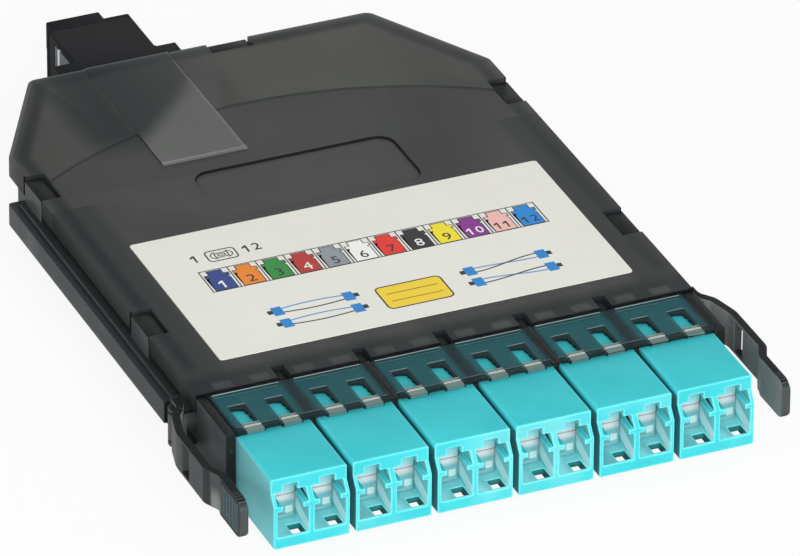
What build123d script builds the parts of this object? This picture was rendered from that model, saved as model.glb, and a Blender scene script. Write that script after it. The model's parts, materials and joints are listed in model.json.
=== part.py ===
from build123d import *
import os

# Fibre cassette: a low smoked case with a row of duplex port adapters in front,
# two sprung release levers at the sides and a multi-fibre adapter in the rear wall.
# Millimetres. Origin: centre of the tray's underside. +X right, +Y rear, +Z up.

# Duplex port adapters
adapter_count = 6
adapter_pitch = 13.8
adapter_width = 12.8
adapter_height = 11.9
adapter_length = 29.0
adapter_overhang = 15.0
face_setback = 1.3
face_slope_low = 7.6
face_slope_high = 9.4
adapter_edge = 0.35

# Ports of one adapter
port_pitch = 6.25
port_width = 5.2
port_floor = 2.0
port_height = 7.4
plug_bay_height = 4.7
shoulder_height = 0.85
shoulder_gap = 3.4
shoulder_depth = 3.6
latch_slot_width = 2.5
latch_slot_height = 1.2
latch_slot_end_wall = 2.0
mid_wall_thickness = 2.0
floor_window_width = 2.15
floor_window_length = 2.6
floor_window_setback = 0.5
floor_window_offset = 1.2
floor_window_skin = 1.1
floor_pocket_reach = 1.4
floor_pocket_margin = 0.3

# Bosses that guide the plugs' tips together in the mid wall
boss_radius = 1.7
boss_sides = 8
boss_length = 0.9
boss_bore = 0.63
plug_axis_height = 4.2

# Port shutters
shutter_setback = 5.55
shutter_thickness = 0.35
shutter_side_gap = 0.15
shutter_floor_gap = 0.2
shutter_tab_height = 0.5
shutter_tab_reach = 0.3
shutter_pocket_side = 0.7
shutter_pocket_gap = 0.05
shutter_roof_gap = 0.45
shutter_panel_height = 3.6
shutter_panel_relief = 0.15
shutter_panel_inset = 0.25
shutter_rib_height = 0.6

# Case
tray_depth = 115.0
side_wall = 1.7
bay_floor = 0.7
floor_thickness = 1.2
wall_thickness = 1.2
bay_clearance = 0.1
bay_rear_gap = 0.3
corner_cut_x = 12.3
corner_cut_y = 22.4
corner_radius = 2.0

# Cover
cover_gap = 0.1
cover_thickness = 1.1
band_depth = 12.3
band_thickness = 0.6
skirt_thickness = 1.0
skirt_gap = 0.1
skirt_drop = 2.3
rear_zone_rise = 0.15
arc_radius = 71.4
arc_from_rear = 20.5
raised_plate_width = 14.9
raised_plate_length = 34.7
raised_plate_rise = 0.35
recess_width = 35.0
recess_length = 15.7
recess_from_front = 60.8
recess_sink = 0.5
recess_radius = 3.0
notch_length = 8.0
notch_depth = 3.4
notch_from_front = 31.8
notch_from_rear = 29.2
rear_notch_width = 7.4
rear_notch_depth = 3.0
rear_notch_x = 4.8
rear_catch_sink = 0.3
slit_width = 2.1
slit_length = 3.6
band_overlap = 0.5
window_width = 2.8
window_length = 5.8
window_setback = 2.2
window_lip_depth = 0.8
window_lip_rise = 0.25
band_tab_width = 3.6
band_cut_depth = 0.9
band_skin = 0.25

# Dividers between adapters
divider_width = 0.8
divider_bead_width = 1.2
divider_bead_rise = 0.15
divider_bead_gap = 0.05
divider_setback = 0.5
divider_end_gap = 0.3
divider_top_gap = 0.1
tab_side_gap = 0.15
tab_sink = 0.8
keeper_width = 6.0
keeper_length = 1.5
keeper_height = 0.5
keeper_from_face = 20.0
keeper_clearance = 0.1

# Snap hooks in the cover's notches
hook_gap = 0.3
hook_sink = 0.5
hook_drop = 4.6

# Guide rails
rail_reach = 3.85
rail_bottom = 5.6
rail_height = 3.95
rail_flange = 1.2
rail_lip = 1.2
rail_from_front = 18.8
rail_from_rear = 29.0
rail_groove_depth = 0.3
rail_groove_width = 0.5

# Release levers
lever_thickness = 1.8
lever_top = 10.8
lever_height = 6.6
grip_height = 7.3
lever_bow_reach = 5.4
lever_grip_reach = 4.1
lever_bend_y = 4.0
lever_bend_x = 1.4
lever_straight_y = 9.0
lever_neck_length = 2.6
lever_bends = [4.0, 6.0, 1.8, 1.8]
lever_ear_gap = 0.3
knuckle_reach = 1.6
knuckle_from_front = 16.1
knuckle_radius = 1.5
knuckle_height = 5.0
knuckle_clearance = 0.06
ear_thickness = 0.9
ear_root = 0.5
neck_overhang = 4.9
grip_length = 11.6
grip_nose_radius = 1.2
grip_heel_bevel = 0.6
lever_window_from_front = 1.3
lever_window_length = 3.3
lever_window_margin = 0.8

# Label
label_width = 71.2
label_depth = 38.4
label_thickness = 0.15
label_x = 0.4
label_setback = 8.2
label_corner = 0.6

# Multi-fibre adapter in the rear wall
mf_x = -13.1
mf_width = 14.7
mf_height = 10.4
mf_bottom = 2.2
mf_inner_length = 11.0
mf_outer_length = 16.0
mf_wall = 1.3
mf_flange_width = 21.8
mf_flange_thickness = 5.2
mf_collar_width = 18.0
mf_collar_thickness = 1.4
mf_fit = 0.1
mf_stop_thickness = 1.6
mf_stop_window_width = 7.0
mf_stop_window_height = 3.4
mf_wall_grip = 2.0
mf_flange_sink = 0.6
mf_top_step = 0.15
mf_edge = 0.5
mf_stop_setback = 1.0

# Sheet-steel clip round the multi-fibre adapter
clip_thickness = 0.3
clip_length = 7.0
clip_side_margin = 0.9
clip_flange_gap = 0.3

# Dust cap
cap_plate = 1.3
cap_insert_length = 6.0
cap_insert_gap = 0.15
cap_wall = 1.2
cap_tab_width = 9.5
cap_tab_offset = -1.2
cap_tab_height = 5.2
cap_tab_length = 3.9
cap_tab_drop = 1.0
cap_tab_edge = 0.4
cap_face_gap = 0.05

# Inner plugs
plug_body = 4.5
plug_nose_gap = 0.3
plug_rear_reach = 3.0
plug_floor_gap = 0.1
plug_latch_height = 1.9
plug_latch_width = 2.2
plug_latch_setback = 2.0
plug_latch_flat = 1.0
boot_radius = 1.25
boot_length = 5.0
boot_sides = 8
duplex_clip_length = 3.0
duplex_clip_height = 1.6

# Inner multi-fibre plug, ribbon lead and fan-out block
mf_plug_width = 9.6
mf_plug_height = 6.0
mf_plug_length = 14.0
mf_boot_width = 6.0
mf_boot_height = 3.6
mf_boot_length = 5.0
mf_plug_nose_gap = 1.5
mf_plug_edge = 0.6
ribbon_width = 3.2
ribbon_thickness = 0.6
ribbon_bend = 4.0
fan_out_width = 14.0
fan_out_length = 10.0
fan_out_edge = 1.5
ribbon_run = 11.6
ribbon_lead_share = 0.28
tail_radius = 0.45
tail_pitch = 1.05
tail_lead = 9.0
tail_bend = 11.0
tail_sides = 6

# Fibre guide rings in the tray
right_ring_radius = 11.0
right_ring_x = 24.0
left_ring_radius = 8.0
left_ring_x = -31.0
ring_from_rear = 41.5
ring_wall = 1.0
ring_height = 8.0
ring_gap = 6.0
ring_finger = 2.5

# Places worked out from the sizes above
front_y = -tray_depth / 2
rear_y = tray_depth / 2
face_y = front_y - adapter_overhang
cover_front_y = front_y + band_depth
row_half = (adapter_count - 1) * adapter_pitch / 2 + adapter_width / 2
bay_half = row_half + bay_clearance
half_width = bay_half + side_wall
bay_rear_y = face_y + adapter_length + bay_rear_gap
adapter_top = bay_floor + adapter_height
cover_under = adapter_top + cover_gap
cover_top = cover_under + cover_thickness
rear_zone_top = cover_top + rear_zone_rise
band_top = cover_under + band_thickness
wall_out = half_width - skirt_thickness - skirt_gap
wall_rear_y = rear_y - skirt_thickness - skirt_gap
adapter_xs = [(i - (adapter_count - 1) / 2) * adapter_pitch for i in range(adapter_count)]
port_offsets = (-port_pitch / 2, port_pitch / 2)
port_xs = [ax + px for ax in adapter_xs for px in port_offsets]
gap_xs = [(a + b) / 2 for a, b in zip(adapter_xs, adapter_xs[1:])]
mid_wall_front = (adapter_length - mid_wall_thickness) / 2
mid_wall_rear = (adapter_length + mid_wall_thickness) / 2
port_top = port_floor + port_height
shutter_axis_height = port_top - shutter_roof_gap
notch_ys = (front_y + notch_from_front, rear_y - notch_from_rear - notch_length)
rail_front_y = front_y + rail_from_front
rail_rear_y = rear_y - rail_from_rear
ring_y = rear_y - ring_from_rear
knuckle_x = half_width + knuckle_reach
knuckle_y = front_y + knuckle_from_front
neck_y = front_y - neck_overhang
grip_front_y = neck_y - grip_length
bow_x = half_width + lever_bow_reach
grip_x = half_width + lever_grip_reach
over = 1.0


def block(x0, x1, y0, y1, z0, z1):
    """Box between two corners."""
    size = (x1 - x0, y1 - y0, z1 - z0)
    middle = ((x0 + x1) / 2, (y0 + y1) / 2, (z0 + z1) / 2)
    return Pos(*middle) * Box(*size)


def prism(points, z0, z1):
    """Upright prism on a closed outline."""
    face = make_face(Polyline(*points, close=True))
    return Pos(0, 0, z0) * extrude(face, z1 - z0)


def side_prism(points, width):
    """Prism along X on an outline of (y, z) points, centred on x = 0."""
    face = make_face(Plane.YZ * Polyline(*points, close=True))
    return extrude(face, width / 2, both=True)


def rod_y(radius, y0, y1, x, z):
    """Round rod along Y."""
    return Pos(x, (y0 + y1) / 2, z) * Rot(90, 0, 0) * Cylinder(radius, y1 - y0)


def case_outline(half, y0, y1, cut_x, cut_y):
    """Case outline with the two rear corners cut off."""
    return [
        (-half, y0),
        (half, y0),
        (half, y1 - cut_y),
        (half - cut_x, y1),
        (-half + cut_x, y1),
        (-half, y1 - cut_y),
    ]


def rounded_rear(shape):
    """Round the upright edges at the cut rear corners."""
    upright = shape.edges().filter_by(Axis.Z)
    rear = [e for e in upright if e.center().Y > 0]
    return fillet(rear, corner_radius)


# Duplex port adapter, in its own axes: x from its middle, y from its lower face, z from its underside


def adapter_blank():
    """Outer block with the leaning, set-back upper face."""
    profile = [
        (0, 0),
        (0, face_slope_low),
        (face_setback, face_slope_high),
        (face_setback, adapter_height),
        (adapter_length, adapter_height),
        (adapter_length, 0),
    ]
    body = side_prism(profile, adapter_width)
    long_edges = body.edges().filter_by(Axis.Y)
    return fillet(long_edges, adapter_edge)


def port_cavity(depth):
    """Stepped port: plug bay, shoulders that leave a gap, upper bay and latch slot, from y = 0 inwards."""
    half = port_width / 2
    bay_top = port_floor + plug_bay_height
    shoulder_top = bay_top + shoulder_height
    cavity = block(-half, half, -over, depth, port_floor, bay_top)
    cavity += block(-half, half, -over, depth, shoulder_top, port_top)
    cavity += block(-shoulder_gap / 2, shoulder_gap / 2, -over, depth, bay_top, shoulder_top)
    cavity += block(-half, half, shoulder_depth, depth, port_floor, port_top)
    slot_half = latch_slot_width / 2
    slot_end = depth - latch_slot_end_wall
    cavity += block(-slot_half, slot_half, -over, slot_end, shoulder_top, port_top + latch_slot_height)
    return cavity


def port_adapter():
    """Whole adapter with both pairs of ports, the bosses between them and the shutter bearings."""
    body = adapter_blank()
    for x in port_offsets:
        body -= Pos(x, 0, 0) * port_cavity(mid_wall_front)
        body -= Pos(x, adapter_length, 0) * Rot(0, 0, 180) * port_cavity(adapter_length - mid_wall_rear)
        body += guide_boss(x)
        body -= rod_y(boss_bore, 0, adapter_length, x, plug_axis_height)
        body -= floor_window(x + floor_window_offset)
        body -= shutter_bearing(x)
    keeper_half = keeper_width / 2 + keeper_clearance
    keeper_y0 = keeper_from_face - keeper_clearance
    keeper_y1 = keeper_from_face + keeper_length + keeper_clearance
    body -= block(-keeper_half, keeper_half, keeper_y0, keeper_y1, -over, keeper_height + keeper_clearance)
    return body


def guide_boss(x):
    """Eight-sided boss that stands out of the mid wall on both sides."""
    outline = Rot(0, 0, 180 / boss_sides) * RegularPolygon(boss_radius, boss_sides, major_radius=False)
    length = mid_wall_thickness + 2 * boss_length
    return Pos(x, mid_wall_rear + boss_length, plug_axis_height) * Rot(90, 0, 0) * extrude(outline, length)


def floor_window(x):
    """Cut for the window in a port's floor, which widens into a pocket under its thin skin."""
    half = floor_window_width / 2
    y0 = floor_window_setback
    y1 = y0 + floor_window_length
    window = block(x - half, x + half, y0, y1, 0, port_floor + over)
    half += floor_pocket_margin
    pocket_top = port_floor - floor_window_skin
    return window + block(x - half, x + half, y0, y1 + floor_pocket_reach, -over, pocket_top)


def shutter_bearing(x):
    """Cut for the two square pockets that hold a shutter's tabs."""
    reach = port_width / 2 + shutter_tab_reach + shutter_pocket_gap
    pocket = Box(2 * reach, shutter_pocket_side, shutter_pocket_side)
    return Pos(x, shutter_setback, shutter_axis_height) * pocket


def shutter():
    """Sheet flap of one port, hanging from two tabs at its top edge; x from the port's middle."""
    half = port_width / 2 - shutter_side_gap
    panel_half = half - shutter_panel_inset
    bottom = port_floor + shutter_floor_gap
    tab_half = shutter_tab_height / 2
    y0 = shutter_setback - shutter_thickness / 2
    y1 = shutter_setback + shutter_thickness / 2
    flap = block(-half, half, y0, y1, bottom, shutter_axis_height + tab_half)
    reach = port_width / 2 + shutter_tab_reach
    flap += block(-reach, reach, y0, y1, shutter_axis_height - tab_half, shutter_axis_height + tab_half)
    panel_top = shutter_axis_height - tab_half - shutter_panel_inset
    panel_low = panel_top - shutter_panel_height
    flap += block(-panel_half, panel_half, y0 - shutter_panel_relief, y0, panel_low, panel_top)
    rib_y0 = y0 - 2 * shutter_panel_relief
    flap += block(-panel_half, panel_half, rib_y0, y0, bottom, bottom + shutter_rib_height)
    return flap


# Tray


def tray_shell():
    """Floor, side walls, rear wall with cut corners and the open front bay."""
    step_y = cover_front_y - bay_clearance
    outline = case_outline(wall_out, step_y, wall_rear_y, corner_cut_x, corner_cut_y)
    shell = rounded_rear(prism(outline, 0, cover_under))
    shell += block(-half_width, half_width, front_y, step_y, 0, band_top)
    inner_half = wall_out - wall_thickness
    inner_rear_y = wall_rear_y - wall_thickness
    inner = case_outline(inner_half, bay_rear_y, inner_rear_y, corner_cut_x, corner_cut_y)
    shell -= prism(inner, floor_thickness, cover_top + over)
    shell -= block(-bay_half, bay_half, front_y - over, bay_rear_y, bay_floor, cover_top + over)
    return shell


def tray_dividers():
    """Thin walls between adapters, with a bead at every second gap and a rear tab in the cover's slit."""
    half = divider_width / 2
    bead = divider_bead_width / 2
    y0 = front_y + divider_setback
    y1 = bay_rear_y - divider_end_gap
    bead_y1 = cover_front_y - bay_clearance
    bead_top = band_top + divider_bead_rise
    tab_y0 = cover_front_y + band_overlap + tab_side_gap
    tab_y1 = cover_front_y + slit_length - tab_side_gap
    wall_top = cover_under - divider_top_gap
    parts = []
    for i, x in enumerate(gap_xs):
        wall = block(x - half, x + half, y0, y1, bay_floor, wall_top)
        if i % 2 == 1:
            wall += block(x - half, x + half, y0, bead_y1, wall_top, cover_under)
            wall += block(x - bead, x + bead, y0, bead_y1, cover_under, bead_top)
        wall += block(x - half, x + half, tab_y0, tab_y1, bay_floor, cover_top - tab_sink)
        parts.append(wall)
    return parts


def tray_keepers():
    """Low ridges on the bay floor that hold the adapters back."""
    y0 = face_y + keeper_from_face
    y1 = y0 + keeper_length
    half = keeper_width / 2
    return [block(x - half, x + half, y0, y1, bay_floor, bay_floor + keeper_height) for x in adapter_xs]


def snap_hooks():
    """Hooks that stand flush in the four side notches of the cover."""
    hooks = []
    for y in notch_ys:
        y0 = y + hook_gap
        y1 = y + notch_length - hook_gap
        x_in = half_width - notch_depth + hook_gap
        head = block(x_in, half_width, y0, y1, cover_under, cover_top - hook_sink)
        stem_low = cover_under - hook_drop
        stem = block(wall_out, half_width, y0, y1, stem_low, cover_under)
        foot = [
            (wall_out, stem_low - skirt_thickness),
            (half_width, stem_low),
            (wall_out, stem_low),
        ]
        face = make_face(Plane.XZ * Polyline(*foot, close=True))
        wedge = Pos(0, y1, 0) * extrude(face, y1 - y0)
        hook = head + stem + wedge
        hooks += [hook, mirror(hook, Plane.YZ)]
    return hooks


def rail(side):
    """Guide rail: a flange from the wall with a deep outer lip and a groove beside it."""
    x_out = wall_out + rail_reach
    top = rail_bottom + rail_height
    bar = block(wall_out, x_out, rail_front_y, rail_rear_y, top - rail_flange, top)
    bar += block(x_out - rail_lip, x_out, rail_front_y, rail_rear_y, rail_bottom, top)
    corner = bar.edges().filter_by(Axis.Z).sort_by(Axis.X)[-2:].sort_by(Axis.Y)[-1]
    bar = fillet(corner, rail_lip / 2)
    groove_x = x_out - rail_lip
    groove_y0 = rail_front_y + rail_lip
    groove_y1 = rail_rear_y - rail_lip
    groove_low = top - rail_groove_depth
    bar -= block(groove_x - rail_groove_width, groove_x, groove_y0, groove_y1, groove_low, top + over)
    ear_x0 = wall_out - ear_root
    ear_y0 = knuckle_y - knuckle_radius
    for z0, z1 in ear_levels():
        bar += Pos(knuckle_x, knuckle_y, (z0 + z1) / 2) * Cylinder(knuckle_radius, z1 - z0)
        bar += block(ear_x0, knuckle_x, ear_y0, rail_front_y + ear_root, z0, z1)
    return bar if side > 0 else mirror(bar, Plane.YZ)


def ear_levels():
    """Low and high faces of the two ears that hold a lever's knuckle."""
    low = lever_top - lever_height - knuckle_clearance
    high = lever_top - lever_height + knuckle_height + knuckle_clearance
    return [(low - ear_thickness, low), (high, high + ear_thickness)]


def rear_saddle(body):
    """Slot and seat for the multi-fibre adapter in the rear wall."""
    half = mf_width / 2 + mf_fit
    wing = mf_flange_width / 2
    seat_y0 = wall_rear_y - wall_thickness
    seat_top = cover_under - skirt_drop - skirt_gap
    body += block(mf_x - wing, mf_x + wing, seat_y0, rear_y, 0, seat_top)
    body -= block(mf_x - half, mf_x + half, seat_y0 - over, rear_y + over, mf_bottom - mf_fit, cover_top)
    return body


def rear_catch():
    """Block on the rear wall that fills the cover's rear notch."""
    half = rear_notch_width / 2 - hook_gap
    x0 = rear_notch_x - half
    x1 = rear_notch_x + half
    y0 = rear_y - rear_notch_depth + hook_gap
    catch = block(x0, x1, y0, rear_y, cover_under, cover_top - rear_catch_sink)
    root_y0 = wall_rear_y - wall_thickness
    return catch + block(x0, x1, root_y0, wall_rear_y, cover_under - hook_gap, cover_under)


def guide_rings():
    """Open rings that lead the fibres, each with a gap and two hold-down fingers."""
    parts = []
    for x, radius in ((left_ring_x, left_ring_radius), (right_ring_x, right_ring_radius)):
        ring = Cylinder(radius, ring_height) - Cylinder(radius - ring_wall, ring_height + over)
        ring -= Box(2 * radius + over, ring_gap, ring_height + over)
        finger_x = radius + (ring_finger - ring_wall) / 2
        for angle in (90, 270):
            place = Rot(0, 0, angle) * Pos(finger_x, 0, (ring_height - ring_wall) / 2)
            ring += place * Box(ring_finger + ring_wall, ring_finger, ring_wall)
        parts.append(Pos(x, ring_y, floor_thickness + ring_height / 2) * ring)
    return parts


def base_tray():
    """Tray with everything moulded on it."""
    tray = tray_shell()
    for piece in tray_dividers() + tray_keepers() + snap_hooks() + guide_rings() + [rear_catch()]:
        tray += piece
    tray = rear_saddle(tray)
    tray += rail(1)
    tray += rail(-1)
    socket_height = knuckle_height + 2 * knuckle_clearance
    socket_z = lever_top - lever_height + knuckle_height / 2
    for side in (-1, 1):
        socket = Cylinder(knuckle_radius + knuckle_clearance, socket_height)
        tray -= Pos(side * knuckle_x, knuckle_y, socket_z) * socket
    return tray


# Cover


def cover_plate():
    """Plate with a raised rear zone behind an arc and a raised plate over the rear adapter."""
    outline = case_outline(half_width, cover_front_y, rear_y, corner_cut_x, corner_cut_y)
    plate = rounded_rear(prism(outline, cover_under, cover_top))
    rear_zone = rounded_rear(prism(outline, cover_top, rear_zone_top))
    rear_zone -= Pos(0, rear_y - arc_from_rear - arc_radius, cover_top) * Cylinder(arc_radius, over)
    plate += rear_zone
    half = raised_plate_width / 2
    plate_y0 = rear_y - raised_plate_length
    plate += block(mf_x - half, mf_x + half, plate_y0, rear_y, cover_top, cover_top + raised_plate_rise)
    return plate


def cover_skirt():
    """Skirt that hangs over the tray's side and rear walls."""
    low = cover_under - skirt_drop
    outline = case_outline(half_width, cover_front_y, rear_y, corner_cut_x, corner_cut_y)
    outer = rounded_rear(prism(outline, low, cover_under))
    inner_half = half_width - skirt_thickness
    inner_rear_y = rear_y - skirt_thickness
    inner = case_outline(inner_half, cover_front_y - over, inner_rear_y, corner_cut_x, corner_cut_y)
    skirt = outer - prism(inner, low - over, cover_under + over)
    slot_half = mf_flange_width / 2 + mf_fit
    slot_y0 = wall_rear_y - wall_thickness
    skirt -= block(mf_x - slot_half, mf_x + slot_half, slot_y0, rear_y + over, low - over, cover_under)
    return skirt


def cover_band():
    """Front band over the adapters: windows, lips, cut-backs and slots for the divider beads."""
    half = bay_half - divider_bead_gap
    low = cover_under - over
    high = band_top + over
    band = block(-half, half, front_y, cover_front_y + band_overlap, cover_under, band_top)
    window_y0 = front_y + window_setback
    window_y1 = window_y0 + window_length
    lip_y0 = window_y0 - window_lip_depth
    w = window_width / 2
    for x in port_xs:
        band += block(x - w, x + w, lip_y0, window_y0, band_top, band_top + window_lip_rise)
        band -= block(x - w, x + w, window_y0, window_y1, low, high)
    t = band_tab_width / 2
    skin_low = band_top - band_skin
    for a, b in zip(port_xs, port_xs[1:]):
        band -= block(a + t, b - t, front_y - over, front_y + band_cut_depth, low, skin_low)
    for x in gap_xs[1::2]:
        s = divider_bead_width / 2 + divider_bead_gap
        band -= block(x - s, x + s, front_y - over, cover_front_y, low, high)
    return band


def top_cover():
    """Whole cover."""
    cover = cover_plate() + cover_skirt() + cover_band()
    high = rear_zone_top + over
    notch_x = half_width - notch_depth
    for y in notch_ys:
        notch = block(notch_x, half_width + over, y, y + notch_length, 0, high)
        cover -= notch
        cover -= mirror(notch, Plane.YZ)
    slit_y1 = cover_front_y + slit_length
    for x in gap_xs:
        s = slit_width / 2
        cover -= block(x - s, x + s, cover_front_y, slit_y1, cover_under - over, high)
    x0 = rear_notch_x - rear_notch_width / 2
    y0 = rear_y - rear_notch_depth
    cover -= block(x0, x0 + rear_notch_width, y0, rear_y + over, cover_under - skirt_gap, high)
    pocket = extrude(RectangleRounded(recess_width, recess_length, recess_radius), recess_sink + over)
    recess_y = front_y + recess_from_front + recess_length / 2
    cover -= Pos(0, recess_y, cover_top - recess_sink) * pocket
    return cover


def label():
    """Printed label on the cover."""
    plate = extrude(RectangleRounded(label_width, label_depth, label_corner), label_thickness)
    return Pos(label_x, cover_front_y + label_setback + label_depth / 2, cover_top) * plate


# Release levers


def lever_centre_line():
    """Plan route of the lever's middle, from the knuckle to the grip."""
    bow = bow_x - lever_thickness / 2
    grip = grip_x - lever_thickness / 2
    return [
        (knuckle_x, knuckle_y),
        (bow - lever_bend_x, knuckle_y - lever_bend_y),
        (bow, knuckle_y - lever_straight_y),
        (bow, neck_y),
        (grip, neck_y - lever_neck_length),
        (grip, neck_y - lever_neck_length - 2 * lever_thickness),
    ]


def lever(side):
    """Bowed arm with a window, a stepped neck and a grip."""
    low = lever_top - lever_height
    route = FilletPolyline(*lever_centre_line(), radius=lever_bends)
    ribbon = make_face(offset(route, lever_thickness / 2, kind=Kind.ARC))
    arm = Pos(0, 0, low) * extrude(ribbon, lever_height)
    grip_y1 = neck_y - lever_neck_length
    grip_low = lever_top - grip_height
    grip = block(grip_x - lever_thickness, grip_x, grip_front_y, grip_y1, grip_low, lever_top)
    across = grip.edges().filter_by(Axis.X).sort_by(Axis.Y)
    grip = fillet(across[:2], grip_nose_radius)
    heel = grip.edges().filter_by(Axis.X).group_by(Axis.Y)[-1].sort_by(Axis.Z)[0]
    arm += chamfer(heel, grip_heel_bevel)
    arm += Pos(knuckle_x, knuckle_y, low + lever_height / 2) * Cylinder(knuckle_radius, lever_height)
    above = lever_height - knuckle_height
    clear = Cylinder(knuckle_radius + lever_ear_gap, above + over)
    arm -= Pos(knuckle_x, knuckle_y, low + knuckle_height + (above + over) / 2) * clear
    window_y0 = front_y + lever_window_from_front
    window_y1 = window_y0 + lever_window_length
    window_low = low + lever_window_margin
    window_high = lever_top - lever_window_margin
    arm -= block(bow_x - 2 * lever_thickness, bow_x + over, window_y0, window_y1, window_low, window_high)
    return arm if side > 0 else mirror(arm, Plane.YZ)


# Multi-fibre adapter and what is on it


def mf_places():
    """Front, flange and rear places of the multi-fibre adapter along Y."""
    flange_y0 = rear_y + mf_fit
    return flange_y0 - mf_wall_grip - mf_inner_length, flange_y0, flange_y0 + mf_outer_length


def multi_fibre_adapter():
    """Keyed rectangular adapter with a flange outside the wall and a collar inside it."""
    y0, flange_y, y1 = mf_places()
    top = mf_bottom + mf_height
    half = mf_width / 2
    body = block(mf_x - half, mf_x + half, y0, y1, mf_bottom, top)
    body = fillet(body.edges().filter_by(Axis.Y), mf_edge)
    wing = mf_flange_width / 2
    flange_y1 = flange_y + mf_flange_thickness
    step_top = top - mf_top_step
    body += block(mf_x - wing, mf_x + wing, flange_y, flange_y1, mf_bottom - mf_flange_sink, step_top)
    collar = mf_collar_width / 2
    collar_y1 = wall_rear_y - wall_thickness - mf_fit
    collar_y0 = collar_y1 - mf_collar_thickness
    body += block(mf_x - collar, mf_x + collar, collar_y0, collar_y1, mf_bottom, step_top)
    bore_half = half - mf_wall
    low = mf_bottom + mf_wall
    high = top - mf_wall
    stop_y0 = flange_y - mf_stop_setback
    stop_y1 = stop_y0 + mf_stop_thickness
    body -= block(mf_x - bore_half, mf_x + bore_half, y0 - over, stop_y0, low, high)
    body -= block(mf_x - bore_half, mf_x + bore_half, stop_y1, y1 + over, low, high)
    w = mf_stop_window_width / 2
    h = mf_stop_window_height / 2
    middle = (low + high) / 2
    body -= block(mf_x - w, mf_x + w, stop_y0 - over, stop_y1 + over, middle - h, middle + h)
    return body


def adapter_clip():
    """U-shaped steel strap under the adapter with a leaf up each side."""
    _, flange_y, _ = mf_places()
    y0 = flange_y + mf_flange_thickness + clip_flange_gap
    y1 = y0 + clip_length
    half = mf_width / 2
    outer_half = half + clip_thickness
    top = mf_bottom + mf_height - clip_side_margin
    strap = block(mf_x - outer_half, mf_x + outer_half, y0, y1, mf_bottom - clip_thickness, top)
    return strap - block(mf_x - half, mf_x + half, y0 - over, y1 + over, mf_bottom, top + over)


def dust_cap():
    """Cap with a hollow insert in the adapter's mouth, a face plate and a pull tab."""
    _, _, y1 = mf_places()
    half = mf_width / 2
    top = mf_bottom + mf_height
    plate_y1 = y1 + cap_plate
    cap = block(mf_x - half, mf_x + half, y1 + cap_face_gap, plate_y1, mf_bottom, top - mf_top_step)
    insert_half = half - mf_wall - cap_insert_gap
    low = mf_bottom + mf_wall + cap_insert_gap
    high = top - mf_wall - cap_insert_gap
    insert_y0 = y1 - cap_insert_length
    cap += block(mf_x - insert_half, mf_x + insert_half, insert_y0, plate_y1, low, high)
    half = insert_half - cap_wall
    cap -= block(mf_x - half, mf_x + half, insert_y0 - over, y1, low + cap_wall, high - cap_wall)
    half = cap_tab_width / 2
    tab_x = mf_x + cap_tab_offset
    tab_y0 = y1 + cap_plate / 2
    tab_y1 = plate_y1 + cap_tab_length
    tab_top = top - cap_tab_drop
    tab = block(tab_x - half, tab_x + half, tab_y0, tab_y1, tab_top - cap_tab_height, tab_top)
    rear_edges = tab.edges().filter_by(Axis.X).group_by(Axis.Y)[-1]
    return cap + fillet(rear_edges, cap_tab_edge)


# Inside the case


def plug_pair():
    """Two inner plugs and the clip that joins them, in the adapter's axes."""
    z0 = port_floor + plug_floor_gap
    z1 = z0 + plug_body
    latch_top = z1 + plug_latch_height
    y0 = mid_wall_rear + boss_length + plug_nose_gap
    y1 = adapter_length + plug_rear_reach
    ramp_y0 = y0 + plug_latch_setback
    ramp_y1 = y1 - plug_latch_flat
    latch_line = [(ramp_y0, z1), (ramp_y1, latch_top), (y1, latch_top), (y1, z1)]
    half = plug_body / 2
    reach = port_pitch / 2 + half
    pair = block(-reach, reach, y1 - duplex_clip_length, y1, z0, z0 + duplex_clip_height)
    for x in port_offsets:
        pair += block(x - half, x + half, y0, y1, z0, z1)
        pair += Pos(x, 0, 0) * side_prism(latch_line, plug_latch_width)
        boot = extrude(RegularPolygon(boot_radius, boot_sides, major_radius=False), boot_length)
        pair += Pos(x, y1 + boot_length, plug_axis_height) * Rot(90, 0, 0) * boot
    return pair


def inner_mf_plug():
    """Inner multi-fibre plug in the inner mouth of its adapter."""
    _, flange_y, _ = mf_places()
    middle = mf_bottom + mf_height / 2
    tip = flange_y - mf_plug_nose_gap
    rear = tip - mf_plug_length
    w = mf_plug_width / 2
    h = mf_plug_height / 2
    plug = block(mf_x - w, mf_x + w, rear, tip, middle - h, middle + h)
    plug = chamfer(plug.edges().filter_by(Axis.X).group_by(Axis.Y)[0], mf_plug_edge)
    bw = mf_boot_width / 2
    bh = mf_boot_height / 2
    plug += block(mf_x - bw, mf_x + bw, rear - mf_boot_length, rear, middle - bh, middle + bh)
    return plug


def fibre_level():
    """Height of the fibres: the axis of the inner plugs."""
    return bay_floor + plug_axis_height


def fan_out_block():
    """Block where the ribbon splits into single fibres."""
    w = fan_out_width / 2
    front = fan_out_rear_y() - fan_out_length
    z1 = 2 * fibre_level() - floor_thickness
    body = block(mf_x - w, mf_x + w, front, fan_out_rear_y(), floor_thickness, z1)
    return chamfer(body.edges().filter_by(Axis.Z), fan_out_edge)


def ribbon_start_y():
    """Where the ribbon leaves the inner multi-fibre plug's boot."""
    _, flange_y, _ = mf_places()
    return flange_y - mf_plug_nose_gap - mf_plug_length - mf_boot_length


def fan_out_rear_y():
    """Where the ribbon enters the fan-out block."""
    return ribbon_start_y() - ribbon_run


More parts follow.
